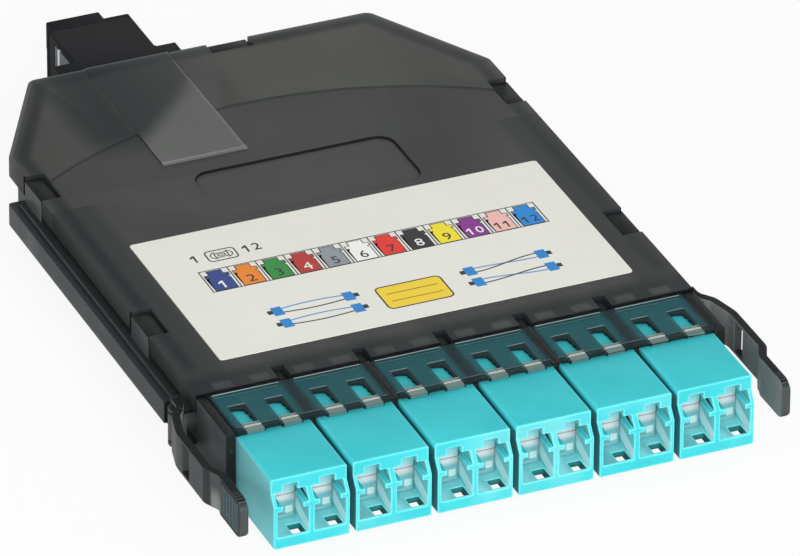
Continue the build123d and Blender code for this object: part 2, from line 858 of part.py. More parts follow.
def ribbon_lead():
    """Flat ribbon from the inner multi-fibre plug down to the fan-out block."""
    start_y = ribbon_start_y()
    start_z = mf_bottom + mf_height / 2
    end_y = fan_out_rear_y()
    lead = ribbon_run * ribbon_lead_share
    low = fibre_level()
    points = [(end_y, low), (end_y + lead, low), (start_y - lead, start_z), (start_y, start_z)]
    route = FilletPolyline(*points, radius=ribbon_bend)
    section = offset(route, ribbon_thickness / 2, side=Side.BOTH)
    face = make_face(Plane.YZ * section)
    ribbon = Pos(mf_x, 0, 0) * extrude(face, ribbon_width / 2, both=True)
    return ribbon & block(mf_x - ribbon_width, mf_x + ribbon_width, end_y, start_y, 0, cover_under)


def fibre_tails():
    """Single fibres that fan out from the block to the inner plugs' boots."""
    front = fan_out_rear_y() - fan_out_length
    boot_y = face_y + adapter_length + plug_rear_reach + boot_length
    tails = []
    for i, x in enumerate(port_xs):
        start_x = mf_x + (i - (len(port_xs) - 1) / 2) * tail_pitch
        points = [(start_x, front), (start_x, front - tail_lead), (x, boot_y + tail_lead), (x, boot_y)]
        route = Pos(0, 0, fibre_level()) * FilletPolyline(*points, radius=tail_bend)
        start = Plane(origin=route @ 0, z_dir=route % 0)
        tails.append(sweep(start * RegularPolygon(tail_radius, tail_sides), path=route))
    return Compound(children=tails)


def build():
    """Every node of the cassette, placed."""
    nodes = {
        "base_tray": base_tray(),
        "top_cover": top_cover(),
        "label": label(),
        "left_release_lever": lever(-1),
        "right_release_lever": lever(1),
        "multi_fibre_adapter": multi_fibre_adapter(),
        "adapter_clip": adapter_clip(),
        "dust_cap": dust_cap(),
        "inner_multi_fibre_plug": inner_mf_plug(),
        "ribbon_lead": ribbon_lead(),
        "fan_out_block": fan_out_block(),
        "fibre_tails": fibre_tails(),
    }
    adapter = port_adapter()
    flap = shutter()
    plugs = plug_pair()
    for i, x in enumerate(adapter_xs, start=1):
        seat = Pos(x, face_y, bay_floor)
        nodes[f"port_adapter_{i}"] = seat * adapter
        nodes[f"inner_plugs_{i}"] = seat * plugs
        for j, px in enumerate(port_offsets, start=1):
            nodes[f"port_shutter_{2 * i - 2 + j:02d}"] = seat * Pos(px, 0, 0) * flap
    return nodes


os.makedirs("parts", exist_ok=True)
for name, shape in build().items():
    export_step(shape, f"parts/{name}.step")
    print(name, round(shape.volume, 2))
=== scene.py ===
# %% [markdown]
# # A smoked fibre cassette
#
# The real object is a flat case of smoked, see-through plastic. One wide plug
# enters its rear wall, and twelve small plugs leave from a row of aqua
# adapters in front. Its solids come ready made, in metres, with their places
# in their meshes. This lesson dresses them: it rounds their edges, gives each
# one a finish built from nodes, prints the label and lights the scene. Keeping
# the solids as they are means that nothing has to be measured twice.

import json
import math

import bmesh
import bpy
from mathutils import Matrix, Vector


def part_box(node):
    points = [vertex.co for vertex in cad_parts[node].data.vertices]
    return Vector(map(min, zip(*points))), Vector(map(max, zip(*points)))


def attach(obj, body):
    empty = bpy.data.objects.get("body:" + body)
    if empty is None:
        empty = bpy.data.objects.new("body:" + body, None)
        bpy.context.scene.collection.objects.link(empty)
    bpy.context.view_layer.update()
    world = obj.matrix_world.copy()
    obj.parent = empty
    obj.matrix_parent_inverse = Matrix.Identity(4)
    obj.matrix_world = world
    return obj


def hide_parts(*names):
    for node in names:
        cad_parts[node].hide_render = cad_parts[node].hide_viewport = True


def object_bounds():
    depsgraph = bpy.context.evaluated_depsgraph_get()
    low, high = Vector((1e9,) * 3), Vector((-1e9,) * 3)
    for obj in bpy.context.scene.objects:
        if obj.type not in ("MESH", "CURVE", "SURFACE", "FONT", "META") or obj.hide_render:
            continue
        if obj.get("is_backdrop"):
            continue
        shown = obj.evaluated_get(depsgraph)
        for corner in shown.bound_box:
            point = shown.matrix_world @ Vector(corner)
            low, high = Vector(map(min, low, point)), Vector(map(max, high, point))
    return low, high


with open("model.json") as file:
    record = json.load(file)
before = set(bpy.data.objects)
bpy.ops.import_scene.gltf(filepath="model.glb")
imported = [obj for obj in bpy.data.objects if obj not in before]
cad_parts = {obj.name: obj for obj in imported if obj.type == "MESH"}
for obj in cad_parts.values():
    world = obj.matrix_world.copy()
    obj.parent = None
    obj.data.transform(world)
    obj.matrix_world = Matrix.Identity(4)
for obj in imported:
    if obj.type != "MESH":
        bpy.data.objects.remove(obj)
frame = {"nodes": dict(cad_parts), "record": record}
solid_low, solid_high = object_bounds()
MM = 0.001
print("solids:", len(frame["nodes"]), "size in mm:", [round(v / MM, 1) for v in solid_high - solid_low])


# %% Three helpers for objects and meshes
def put(name, data):
    """Show a mesh, lens, lamp or text as an object at the origin."""
    made = bpy.data.objects.new(name, data)
    bpy.context.collection.objects.link(made)
    return made


def mesh_of(shell, name):
    """Turn a working shell into a mesh."""
    mesh = bpy.data.meshes.new(name)
    shell.to_mesh(mesh)
    shell.free()
    return mesh


def settle(piece):
    """Make what the modifiers of a piece show its own plain mesh, and remove them."""
    bpy.context.view_layer.update()
    seen = piece.evaluated_get(bpy.context.evaluated_depsgraph_get())
    mesh = bpy.data.meshes.new_from_object(seen)
    piece.modifiers.clear()
    piece.data = mesh
    return piece


# %% [markdown]
# ## Camera
#
# The photograph was taken from far away with a very long lens, so parallel
# edges stay almost parallel. A camera is a place and three directions. Here
# the directions are written as the columns of a matrix, which is more exact
# than turning angles when they come from a measurement.

# %% Camera
camera_place = Vector((-0.536967, -1.260208, 0.812553))
to_the_right = Vector((0.9185364, -0.3952743, 0.0070049))
upwards = Vector((0.1959970, 0.4707018, 0.8602470))
backwards = to_the_right.cross(upwards)

lens = bpy.data.cameras.new("camera")
lens.sensor_width = 36.0
lens.lens = 442.88
lens.clip_start = 0.05
lens.clip_end = 20.0
camera = put("camera", lens)
turn = Matrix((to_the_right, upwards, backwards)).transposed().to_4x4()
camera.matrix_world = Matrix.Translation(camera_place) @ turn
bpy.context.scene.camera = camera
print("camera is", round(camera_place.length, 2), "m from the cassette")

# %% [markdown]
# ## Places on the cassette
#
# A finish often changes at a place that can be measured on the object, such as
# the rear edge of its teal band. Each such place is written once, in
# millimetres from the middle of the underside: X to the right, Y to the rear,
# Z up. What a solid already knows is read from its box.

# %% Places that several pieces share
def corners(node):
    """Lowest and highest corner of a solid, in millimetres."""
    low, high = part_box(node)
    return low / MM, high / MM


def middle_x(node):
    """Middle of a solid across the cassette, in millimetres."""
    low, high = corners(node)
    return (low.x + high.x) / 2


SIDES = ((-1, "left"), (1, "right"))
ADAPTER_COUNT = 6
ADAPTER_STEP = round(middle_x("port_adapter_2") - middle_x("port_adapter_1"), 3)
PORT_OFFSET = round(middle_x("port_adapter_1") - middle_x("port_shutter_01"), 3)
FACE_Y = corners("port_adapter_1")[0].y
COVER_SIDE, COVER_REAR = corners("top_cover")[1].xy
NOTCHES = ((-25.7, -17.7), (20.3, 28.3))
RIB_STEP = 0.62
print("adapters every", ADAPTER_STEP, "mm, ports", PORT_OFFSET, "mm off their middles")

# %% [markdown]
# ## Shader maths
#
# A finish is a small network of nodes. Wiring it by hand hides the idea under
# a heap of links, so one class wraps a socket and lets it be added, multiplied
# and compared like a number. A second class makes any node in one call. With
# these, a line of Python reads like the formula that it stands for.

# %% Sockets that behave like numbers
class Wire:
    """The output of a node, for use in plain arithmetic."""

    def __init__(self, network, socket):
        self.network = network
        self.socket = socket

    def maths(self, operation, first, second=0.0):
        """One maths node; the result is a wire again."""
        return self.network.node("ShaderNodeMath", {"operation": operation}, {0: first, 1: second})

    def size(self):
        """The value without its sign."""
        return self.maths("ABSOLUTE", self)

    def sign(self):
        """-1, 0 or 1."""
        return self.maths("SIGN", self)

    def most(self, other):
        """The larger of two values."""
        return self.maths("MAXIMUM", self, other)

    def least(self, other):
        """The smaller of two values."""
        return self.maths("MINIMUM", self, other)

    def lap(self, length):
        """How far the value is past the last whole length, for what repeats."""
        return self.maths("FLOORED_MODULO", self, length)

    def __add__(self, other):
        return self.maths("ADD", self, other)

    __radd__ = __add__

    def __sub__(self, other):
        return self.maths("SUBTRACT", self, other)

    def __rsub__(self, other):
        return self.maths("SUBTRACT", other, self)

    def __mul__(self, other):
        return self.maths("MULTIPLY", self, other)

    __rmul__ = __mul__

    def __pow__(self, other):
        return self.maths("POWER", self, other)

    def __gt__(self, other):
        return self.maths("GREATER_THAN", self, other)

    def __lt__(self, other):
        return self.maths("LESS_THAN", self, other)


print("beside the usual signs, a wire knows:", [name for name in vars(Wire) if name[0] != "_"])


# %% Networks of nodes
class Network:
    """A node tree that is filled one node at a time."""

    def __init__(self, tree):
        self.tree = tree
        self.tree.nodes.clear()

    def node(self, kind, settings=None, sockets=None, out=0):
        """Make a node, set its options first and then its sockets, and return one output."""
        made = self.tree.nodes.new(kind)
        for key, value in (settings or {}).items():
            if key == "stops":
                self.set_stops(made.color_ramp.elements, value)
            else:
                setattr(made if hasattr(made, key) else made.color_ramp, key, value)
        for key, value in (sockets or {}).items():
            if isinstance(value, Wire):
                self.tree.links.new(value.socket, made.inputs[key])
            else:
                made.inputs[key].default_value = value
        return None if out is None else Wire(self, made.outputs[out])

    @staticmethod
    def set_stops(elements, stops):
        """Give a colour ramp its places and colours, from left to right."""
        while len(elements) < len(stops):
            elements.new(0.99)
        for element, (position, colour) in zip(elements, stops):
            element.position = position
            element.color = colour


print("a network makes each node by one method:", Network.node.__name__)


# %% Patterns that the finishes share
class Finish(Network):
    """One material: its patterns, and the colour that is painted up layer by layer."""

    def __init__(self, name):
        self.material = bpy.data.materials.new(name)
        self.material.use_nodes = True
        super().__init__(self.material.node_tree)
        self.place = self.node("ShaderNodeTexCoord", out="Object")
        self.colour = None

    def noise(self, scale, detail=3.0, roughness=0.5, stretch=None):
        """Cloudy pattern between 0 and 1; scale counts its clouds in a metre."""
        place = self.place
        if stretch:
            place = self.node("ShaderNodeMapping", None, {"Vector": place, "Scale": stretch})
        sockets = {"Vector": place, "Scale": scale, "Detail": detail, "Roughness": roughness}
        return self.node("ShaderNodeTexNoise", None, sockets)

    def fade(self, value, low, high):
        """0 below low, 1 above high, and a soft step between."""
        settings = {"interpolation_type": "SMOOTHSTEP", "clamp": True}
        return self.node("ShaderNodeMapRange", settings, {"Value": value, "From Min": low, "From Max": high})

    def between(self, value, low, high, soft):
        """1 between two places and 0 outside them, with soft borders."""
        return self.fade(value, low - soft, low + soft) * self.fade(value, high + soft, high - soft)

    def along(self, axis):
        """Place on one axis, in millimetres."""
        return self.node("ShaderNodeSeparateXYZ", None, {0: self.place}, out=axis) * (1 / MM)

    def places(self):
        """Places on all three axes, in millimetres."""
        return self.along(0), self.along(1), self.along(2)

    def facing(self, axis):
        """How far the surface looks along one axis: 1 straight along it, -1 straight against it."""
        normal = self.node("ShaderNodeNewGeometry", out="Normal")
        return self.node("ShaderNodeSeparateXYZ", None, {0: normal}, out=axis)

    def tops(self):
        """1 on what looks up."""
        return self.fade(self.facing(2), 0.5, 0.9)

    def fronts(self):
        """1 on what looks to the front."""
        return self.fade(self.facing(1), -0.5, -0.9)

    def flanks(self):
        """1 on what looks to the left or right."""
        return self.fade(self.facing(0).size(), 0.7, 0.95)

    def specks(self, scale, size, share):
        """Round dots: scale sets their spacing, size their radius in mm, share how many cells have one."""
        sockets = {"Vector": self.place, "Scale": scale}
        near = self.node("ShaderNodeTexVoronoi", {"feature": "F1"}, sockets, out="Distance")
        pick = self.node("ShaderNodeTexVoronoi", {"feature": "F1"}, sockets, out="Color")
        red = self.node("ShaderNodeSeparateColor", None, {0: pick}, out=0)
        return (near < size * MM * scale) * (red < share)

    def edges(self, radius, full=0.25):
        """1 where the surface turns a corner: the rounded normal departs from the true one."""
        soft = self.node("ShaderNodeBevel", {"samples": 4}, {"Radius": radius * MM})
        true = self.node("ShaderNodeNewGeometry", out="Normal")
        pair = {0: soft, 1: true}
        same = self.node("ShaderNodeVectorMath", {"operation": "DOT_PRODUCT"}, pair, out="Value")
        return self.fade(1 - same, 0.01, full)

    def bump(self, height, depth):
        """Normal pushed about by a height pattern, as deep as the given millimetres."""
        return self.node("ShaderNodeBump", None, {"Height": height, "Distance": depth * MM, "Strength": 1.0})

    def mix(self, factor, first, second):
        """Blend of two colours."""
        return self.node("ShaderNodeMix", {"data_type": "RGBA"}, {0: factor, 6: first, 7: second}, out=2)

    def paint(self, cover, colour):
        """Lay a colour over the one so far, where the mask is 1."""
        self.colour = self.mix(cover, self.colour, colour)

    def surface(self, varying, fixed):
        """Close the network: links that vary over the surface, and plain numbers set on the shader."""
        shader = self.node("ShaderNodeBsdfPrincipled", None, {"Base Color": self.colour, **fixed, **varying})
        self.node("ShaderNodeOutputMaterial", None, {"Surface": shader}, out=None)
        return self.material


print("a finish knows:", [name for name in vars(Finish) if name[0] != "_"])


# %% Colours
def shade(red, green, blue):
    """A colour read off a screen, 0 to 255, as the linear light that nodes work in."""
    parts = []
    for value in (red, green, blue):
        share = value / 255
        parts.append(share / 12.92 if share <= 0.04045 else ((share + 0.055) / 1.055) ** 2.4)
    return (*parts, 1.0)


def toned(colour, factor, lift=0.0):
    """A darker or lighter tone of a colour."""
    return (*(min(part * factor + lift, 1.0) for part in colour[:3]), 1.0)


NEAR_BLACK = shade(10, 12, 14)
print("shade(128, 128, 128) is", [round(v, 3) for v in shade(128, 128, 128)])

# %% [markdown]
# ## Smoked plastic
#
# The case is moulded in tinted polycarbonate. Most of what reaches the eye is
# dark tint, with a little of what lies behind it. A true glass shader would
# need many light paths to get through the walls, so the tint is a dark surface
# whose alpha lets a share of the view through. Over that go faint flow clouds,
# a fine satin grain, hair scratches and a few grains of dust, and painted light:
# painted highlights along the rounded edges, and painted shade that darkens the
# tops and fronts of some parts.

# %% Smoked plastic
SHEEN = 0.07


def smoked(name, tint, gloss, grain=0.4, dust=0.25, depth=0.0, front=0.0):
    """Tinted moulding: its colour and roughness, painted shade on its top and its front, and painted
    highlights along its edges.
    """
    finish = Finish(name)
    flow = finish.noise(55.0, 4.0, 0.6)
    smear = finish.noise(140.0, 3.0, 0.7, stretch=(1.0, 0.35, 1.0))
    fine = finish.noise(5200.0, 2.0, 0.6)
    hair = finish.fade(finish.noise(420.0, 2.0, 0.7, stretch=(1.0, 0.04, 1.0)), 0.70, 0.74)
    grit = finish.specks(330.0, 0.07, dust)
    finish.colour = finish.mix(flow, toned(tint, 0.78), toned(tint, 1.3))
    # painted shade: the tops and the fronts are darkened by the shares depth and front
    finish.paint(finish.tops() * depth, toned(tint, 0.22))
    finish.paint(finish.fronts() * front, toned(tint, 0.22))
    # painted highlight: a pale line along every rounded edge
    finish.paint(finish.edges(0.22) * 0.35, shade(120, 126, 126))
    finish.paint(hair * 0.06, shade(150, 150, 150))
    finish.paint(grit * 0.35, shade(190, 190, 186))
    varying = {
        "Roughness": gloss + smear * 0.16 + hair * 0.12 + grit * 0.3,
        "Normal": finish.bump(fine * grain + hair * -0.5 + grit * 2.0, 0.012),
    }
    return finish, varying


def even_smoked(finish, varying, through, sheen=SHEEN):
    """Close a tinted moulding that lets the same share of the view through all over."""
    return finish.surface(varying, {"Alpha": 1 - through, "Specular IOR Level": sheen, "IOR": 1.5})


def notch_lines(finish, x, y, z):
    """Painted shade: dark upright lines for the slots on the side walls, at both ends of the four side
    notches.
    """
    lines = 0.0
    for front, rear in NOTCHES:
        long = finish.between(y, rear - 0.18, rear + 0.18, 0.03) * (z > 10.4)
        short = finish.between(y, front - 0.16, front + 0.16, 0.03) * finish.between(z, 10.2, 11.9, 0.1)
        lines = long.most(short) + lines
    return lines * (x.size() > COVER_SIDE - 0.3)


print("sheen of the smoked plastic:", SHEEN)

# %% Tray
CATCH_LOW = 12.2


def tray_material():
    """Smoked tray: painted shade on its rims, its front, the catches in the notches and the slots at their
    ends, and painted light in clouds on its side walls, left off where the lever shades them.
    """
    finish, varying = smoked("smoked_tray", shade(58, 63, 64), 0.30, depth=0.5, front=0.9)
    x, y, z = finish.places()
    cloud = finish.fade(finish.noise(70.0, 3.0, 0.6), 0.50, 0.72)
    shaded_by_lever = finish.fade(y, -42.0, -46.0) * finish.fade(z, 8.5, 6.0)
    # painted light: lit clouds on the side walls, left out in the lever's shade
    finish.paint(finish.flanks() * (1 - shaded_by_lever) * (0.30 + cloud * 0.35), shade(116, 120, 121))
    # painted shade on the tops of the catches in the notches, under the cover
    finish.paint(finish.tops() * (z > CATCH_LOW) * (0.6 + cloud * 0.3), shade(14, 17, 18))
    # painted shade in the slots at both ends of each notch
    finish.paint(notch_lines(finish, x, y, z) * 0.9, NEAR_BLACK)
    return even_smoked(finish, varying, 0.10)


tray_finish = tray_material()
print("tray finish:", tray_finish.name)

# %% Levers and their ribs
ARM_OUT, GRIP_OUT = 46.3, 46.65
BEND_Y = (-65.2, -63.0)
BED_Y = (-72.6, -65.4)


def lever_material():
    """Smoked lever: black rim of painted shade, painted light on the bend and the inner faces, painted shade
    behind the bend and on the bed under the ribs, painted glints along the nose's top, and upright streaks on
    the arm.
    """
    # depth and front set the painted shade on the tops, which makes the black rim, and on the fronts
    finish, varying = smoked("smoked_lever", shade(66, 71, 72), 0.22, grain=0.2, depth=0.97, front=0.45)
    x, y, z = finish.places()
    upright = finish.fade(finish.facing(2).size(), 0.5, 0.3)
    streak = finish.noise(900.0, 3.0, 0.6, stretch=(1.0, 1.0, 0.06))
    rear = finish.fade(y, -53.5, -47.5)
    finish.paint(upright * (rear * 0.35 + streak * 0.25), shade(128, 131, 131))
    # painted shade: a dark streak just behind the bend
    shade_behind_bend = (x.size() > ARM_OUT) * finish.between(y, -62.8, -61.2, 0.3)
    finish.paint(shade_behind_bend * upright * 0.6, shade(30, 34, 36))
    # painted light: the bend faces the lamp and is lit low down
    lit_bend = finish.between(y, *BEND_Y, 0.3) * finish.fade(z, 9.2, 6.2)
    finish.paint(upright * lit_bend * 0.6, shade(160, 160, 156))
    # painted light on the inner faces, where light comes through the arm
    lit_inner_faces = finish.fade(finish.facing(0) * x.sign(), -0.5, -0.9)
    speck = finish.noise(1500.0, 3.0, 0.7)
    finish.paint(lit_inner_faces * (0.25 + speck * 0.45), shade(170, 174, 174))
    # painted glints: light lines across the top near the nose, one for each rib
    nose = finish.fade(finish.facing(2), 0.2, 0.6) * (y < -69.8) * (y.lap(RIB_STEP) < 0.2)
    finish.paint(nose * 0.35, shade(110, 114, 114))
    # painted shade on the bed between the ribs
    bed = (x.size() > GRIP_OUT) * (y > BED_Y[0]) * (y < BED_Y[1])
    finish.paint(bed * upright * 0.85, shade(34, 42, 46))
    return even_smoked(finish, varying, 0.08, sheen=0.03)


def rib_material():
    """The same plastic on the grip's ribs, in a lighter, cooler tint: a painted highlight for the line of
    light they catch.
    """
    finish, varying = smoked("grip_rib", shade(92, 114, 122), 0.20, grain=0.2)
    return even_smoked(finish, varying, 0.05)


lever_finish, rib_finish = lever_material(), rib_material()
print("lever finishes:", lever_finish.name, rib_finish.name)

# %% [markdown]
# ## The cover's own finish
#
# The cover is one moulding, but it doesn't look the same everywhere. Over the
# adapters it is thin, and their aqua comes through as deep teal. Behind the
# arc it is painted paler, as painted light, and its borders, the gaps between
# the adapters and the slots carry painted shade, with painted highlights along
# its lips and edges. Each zone is a mask made from the place on the part, and
# the masks steer the clearness and the tint. The zones are painted one over the
# other, from the middle outwards.

# %% Outlines on the cover
ARC_Y, ARC_RADIUS = -34.4, 71.4
CORNER_ACROSS, CORNER_BACK, CORNER_REACH = 0.8767, 0.4814, 54.33
RECESS_Y, RECESS_HALF_X, RECESS_HALF_Y, RECESS_RADIUS = 11.15, 17.5, 7.85, 3.0
PLATE_LEFT, PLATE_RIGHT, PLATE_FRONT = -20.55, -5.65, 22.8
BAND_REAR, WINDOW_REAR, LIP_REAR, LIP_FRONT = -45.1, -49.5, -55.3, -56.1
# DEEP and MID serve mostly as painted shade, PALE and BRIGHT mostly as painted light
DEEP, MID, PALE, BRIGHT = shade(34, 38, 41), shade(50, 53, 54), shade(82, 84, 79), shade(96, 98, 96)


def inner_distance(x, y):
    """Distance in from the cover's outline at the sides, the rear and the two cut corners."""
    corner = CORNER_REACH - (x.size() * CORNER_ACROSS + y * CORNER_BACK)
    return corner.least((COVER_REAR - y).least(COVER_SIDE - x.size()))


def recess_distance(x, y):
    """Distance out from the rounded outline of the shallow recess, below 0 inside it."""
    across = x.size() - (RECESS_HALF_X - RECESS_RADIUS)
    along = (y - RECESS_Y).size() - (RECESS_HALF_Y - RECESS_RADIUS)
    return (across.most(0.0) ** 2 + along.most(0.0) ** 2) ** 0.5 - RECESS_RADIUS


print("cover is", round(2 * COVER_SIDE, 2), "mm wide")


# %% Rear zone and middle
def paint_middle(finish, x, y, cloud):
    """Satin middle with painted shade on its sides and front, painted light on the zone behind the arc, a
    painted shadow, and the arc's own line.
    """
    # painted shade: darker towards both sides and along the front
    shaded_sides = finish.fade(x.size(), 34.0, 37.2) * (y < 16.0)
    finish.paint(shaded_sides * 0.75, MID)
    finish.paint(finish.fade(y, -38.5, -42.0) * 0.75, DEEP)
    reach = (x * x + (y - ARC_Y) * (y - ARC_Y)) ** 0.5
    # painted light: the paler zone behind the arc, stronger towards the right
    wavy = x + cloud * 10.0
    right = finish.fade(wavy, -3.0, 5.0) * (1 - finish.fade(wavy, 23.0, 33.0) * 0.7)
    left = finish.fade(wavy, -25.0, -31.0) * 0.15
    finish.paint((reach > ARC_RADIUS) * right.most(left) * 0.8, PALE)
    shadow = finish.between(x + cloud * 8.0, -29.0, -20.0, 3.0) * finish.fade(y, 26.0, 36.0)
    finish.paint(shadow * 0.8, DEEP)
    finish.paint(finish.between(reach, ARC_RADIUS - 0.25, ARC_RADIUS + 0.25, 0.2) * 0.5, DEEP)


def paint_recess(finish, x, y):
    """Finger recess: a little paler, dark along its rear and right edge and lit along the others."""
    off = recess_distance(x, y)
    edge = finish.between(off, -0.16, 0.06, 0.06)
    shadow = finish.fade((y - 14.0).most(x - 15.5), -1.0, 1.0)
    finish.paint((off < -0.4) * 0.15, BRIGHT)
    finish.paint(edge * shadow * 0.85, shade(14, 16, 16))
    finish.paint(edge * (1 - shadow) * 0.4, shade(128, 130, 127))


def paint_plate(finish, x, y, cloud):
    """Raised plate: painted light on one side of a slanting border, with painted highlights along two edges.
    """
    plate = (x > PLATE_LEFT) * (x < PLATE_RIGHT) * (y > PLATE_FRONT)
    slant = y - x * 1.113 - 53.9 + cloud * 6.0
    # painted light on one side of the slanting border
    finish.paint(plate, finish.mix(finish.fade(slant, 3.5, -3.5), MID, BRIGHT))
    # painted highlights along the front and right edges
    front = finish.between(y, PLATE_FRONT + 0.3, PLATE_FRONT + 0.9, 0.1)
    right = finish.between(x, PLATE_RIGHT - 0.55, PLATE_RIGHT - 0.15, 0.1)
    finish.paint(plate * front.most(right * 0.5) * 0.5, shade(146, 148, 144))


def paint_rims(finish, x, y, z):
    """Painted shade in a border inside the outline, a faint painted highlight along the rear rim, and painted
    shade in the notches' slots.
    """
    inside = inner_distance(x, y)
    # painted shade in a border inside the outline
    finish.paint(finish.between(inside, 1.2, 3.4, 0.9) * finish.fade(y, -40.0, -36.0) * 0.75, DEEP)
    # painted highlight: a faint light rim at the rear
    finish.paint(finish.fade(inside, 0.8, 0.4) * finish.fade(y, 30.0, 36.0) * 0.3, shade(120, 128, 128))
    # painted shade in the notches' slots
    finish.paint(notch_lines(finish, x, y, z) * 0.9, NEAR_BLACK)


print("plate is", round(PLATE_RIGHT - PLATE_LEFT, 2), "mm wide, arc has a radius of", ARC_RADIUS, "mm")


# %% Front band and the whole cover
def paint_band(finish, x, y, cloud):
    """Thin front band over the adapters, darker towards both ends, with painted shade over the gaps, along
    its front and behind its rear edge, and painted highlights on its lips and rims; gives back how clear it
    is.
    """
    lane = x.lap(ADAPTER_STEP) - ADAPTER_STEP / 2
    off_port = (lane.size() - PORT_OFFSET).size()
    squares = finish.fade(off_port, 2.0, 1.2) * finish.between(y, -44.7, -42.8, 0.5)
    finish.paint(squares * (0.30 + cloud * 0.5), shade(96, 98, 97))

    band = y < BAND_REAR
    gap = finish.fade(lane.size(), 5.2, 6.4)
    finish.paint(band, finish.mix(finish.noise(260.0, 3.0, 0.6), shade(34, 80, 88), shade(54, 104, 108)))
    # painted shade over the gaps between the adapters
    finish.paint(band * gap * 0.75, shade(26, 24, 28))
    # painted shade along the band's front
    finish.paint(finish.fade(y, -55.3, -55.6), shade(20, 36, 40))
    finish.paint(band * finish.fade(x.size(), 40.2, 41.0), shade(14, 18, 20))
    # painted shadow of the cover's front edge, behind the band
    finish.paint(band * (y > BAND_REAR - 0.35), shade(12, 14, 16))

    at_port = off_port < 1.46
    lip, tab = at_port * (y < LIP_REAR), at_port * (y < LIP_FRONT)
    light = at_port * finish.between(y, LIP_REAR - 0.20, LIP_REAR + 0.08, 0.04)
    light = light.most(at_port * finish.between(y, LIP_FRONT - 0.10, LIP_FRONT + 0.08, 0.03))
    fold = finish.between(y, LIP_REAR - 0.45, LIP_REAR - 0.28, 0.03) * (x.size() < 40.2)
    window = (off_port < 1.5) * finish.between(y, WINDOW_REAR, WINDOW_REAR + 0.18, 0.03)
    rear_rim = finish.between(y, BAND_REAR - 0.58, BAND_REAR - 0.35, 0.04) * (lane.size() < 5.6)
    light = light.most(fold * 0.35).most(window * 0.3).most(rear_rim * 0.8)
    finish.paint(lip * 0.55, shade(128, 136, 134))
    finish.paint(tab * 0.65, shade(124, 144, 138))
    finish.paint(tab * finish.fade(y, -56.8, -57.4) * 0.5, shade(70, 118, 120))
    # painted highlights on the lips, the fold, the windows' rear rims and the band's rear rim
    finish.paint(light * 0.9, shade(190, 204, 198))
    return band * (1 - (tab * 0.7).most(light)) * (0.38 + cloud * 0.15 - gap * 0.20)


def cover_material():
    """Smoked cover: satin middle, painted light on the rear zone and plate, painted shade on its borders,
    clear teal front band.
    """
    finish, varying = smoked("smoked_cover", shade(66, 68, 66), 0.34, front=0.8)
    x, y, z = finish.places()
    cloud = finish.noise(30.0, 3.0, 0.55) - 0.5
    paint_middle(finish, x, y, cloud)
    paint_recess(finish, x, y)
    paint_plate(finish, x, y, cloud)
    paint_rims(finish, x, y, z)
    varying["Alpha"] = 0.95 - paint_band(finish, x, y, cloud)
    return finish.surface(varying, {"Specular IOR Level": SHEEN, "IOR": 1.5})


cover_finish = cover_material()
print("cover finish:", cover_finish.name, "with", len(cover_finish.node_tree.nodes), "nodes")

# %% [markdown]
# ## Aqua adapters
#
# The adapters are moulded in solid aqua, the colour that marks one grade of
# fibre. The surface is satin, with faint flow marks from each cavity. Over that
# go painted highlights along the edges, painted light on the flanks and port
# walls, and painted shade between the adapters, in the port windows and under
# the cover. The pale edge comes from the same trick as before: compare a
# rounded normal with the true one.

# %% Aqua plastic
FLOOR_SLOPE = 0.387
PORT_PAIR_HALF, ROW_HALF = 6.1, 40.0


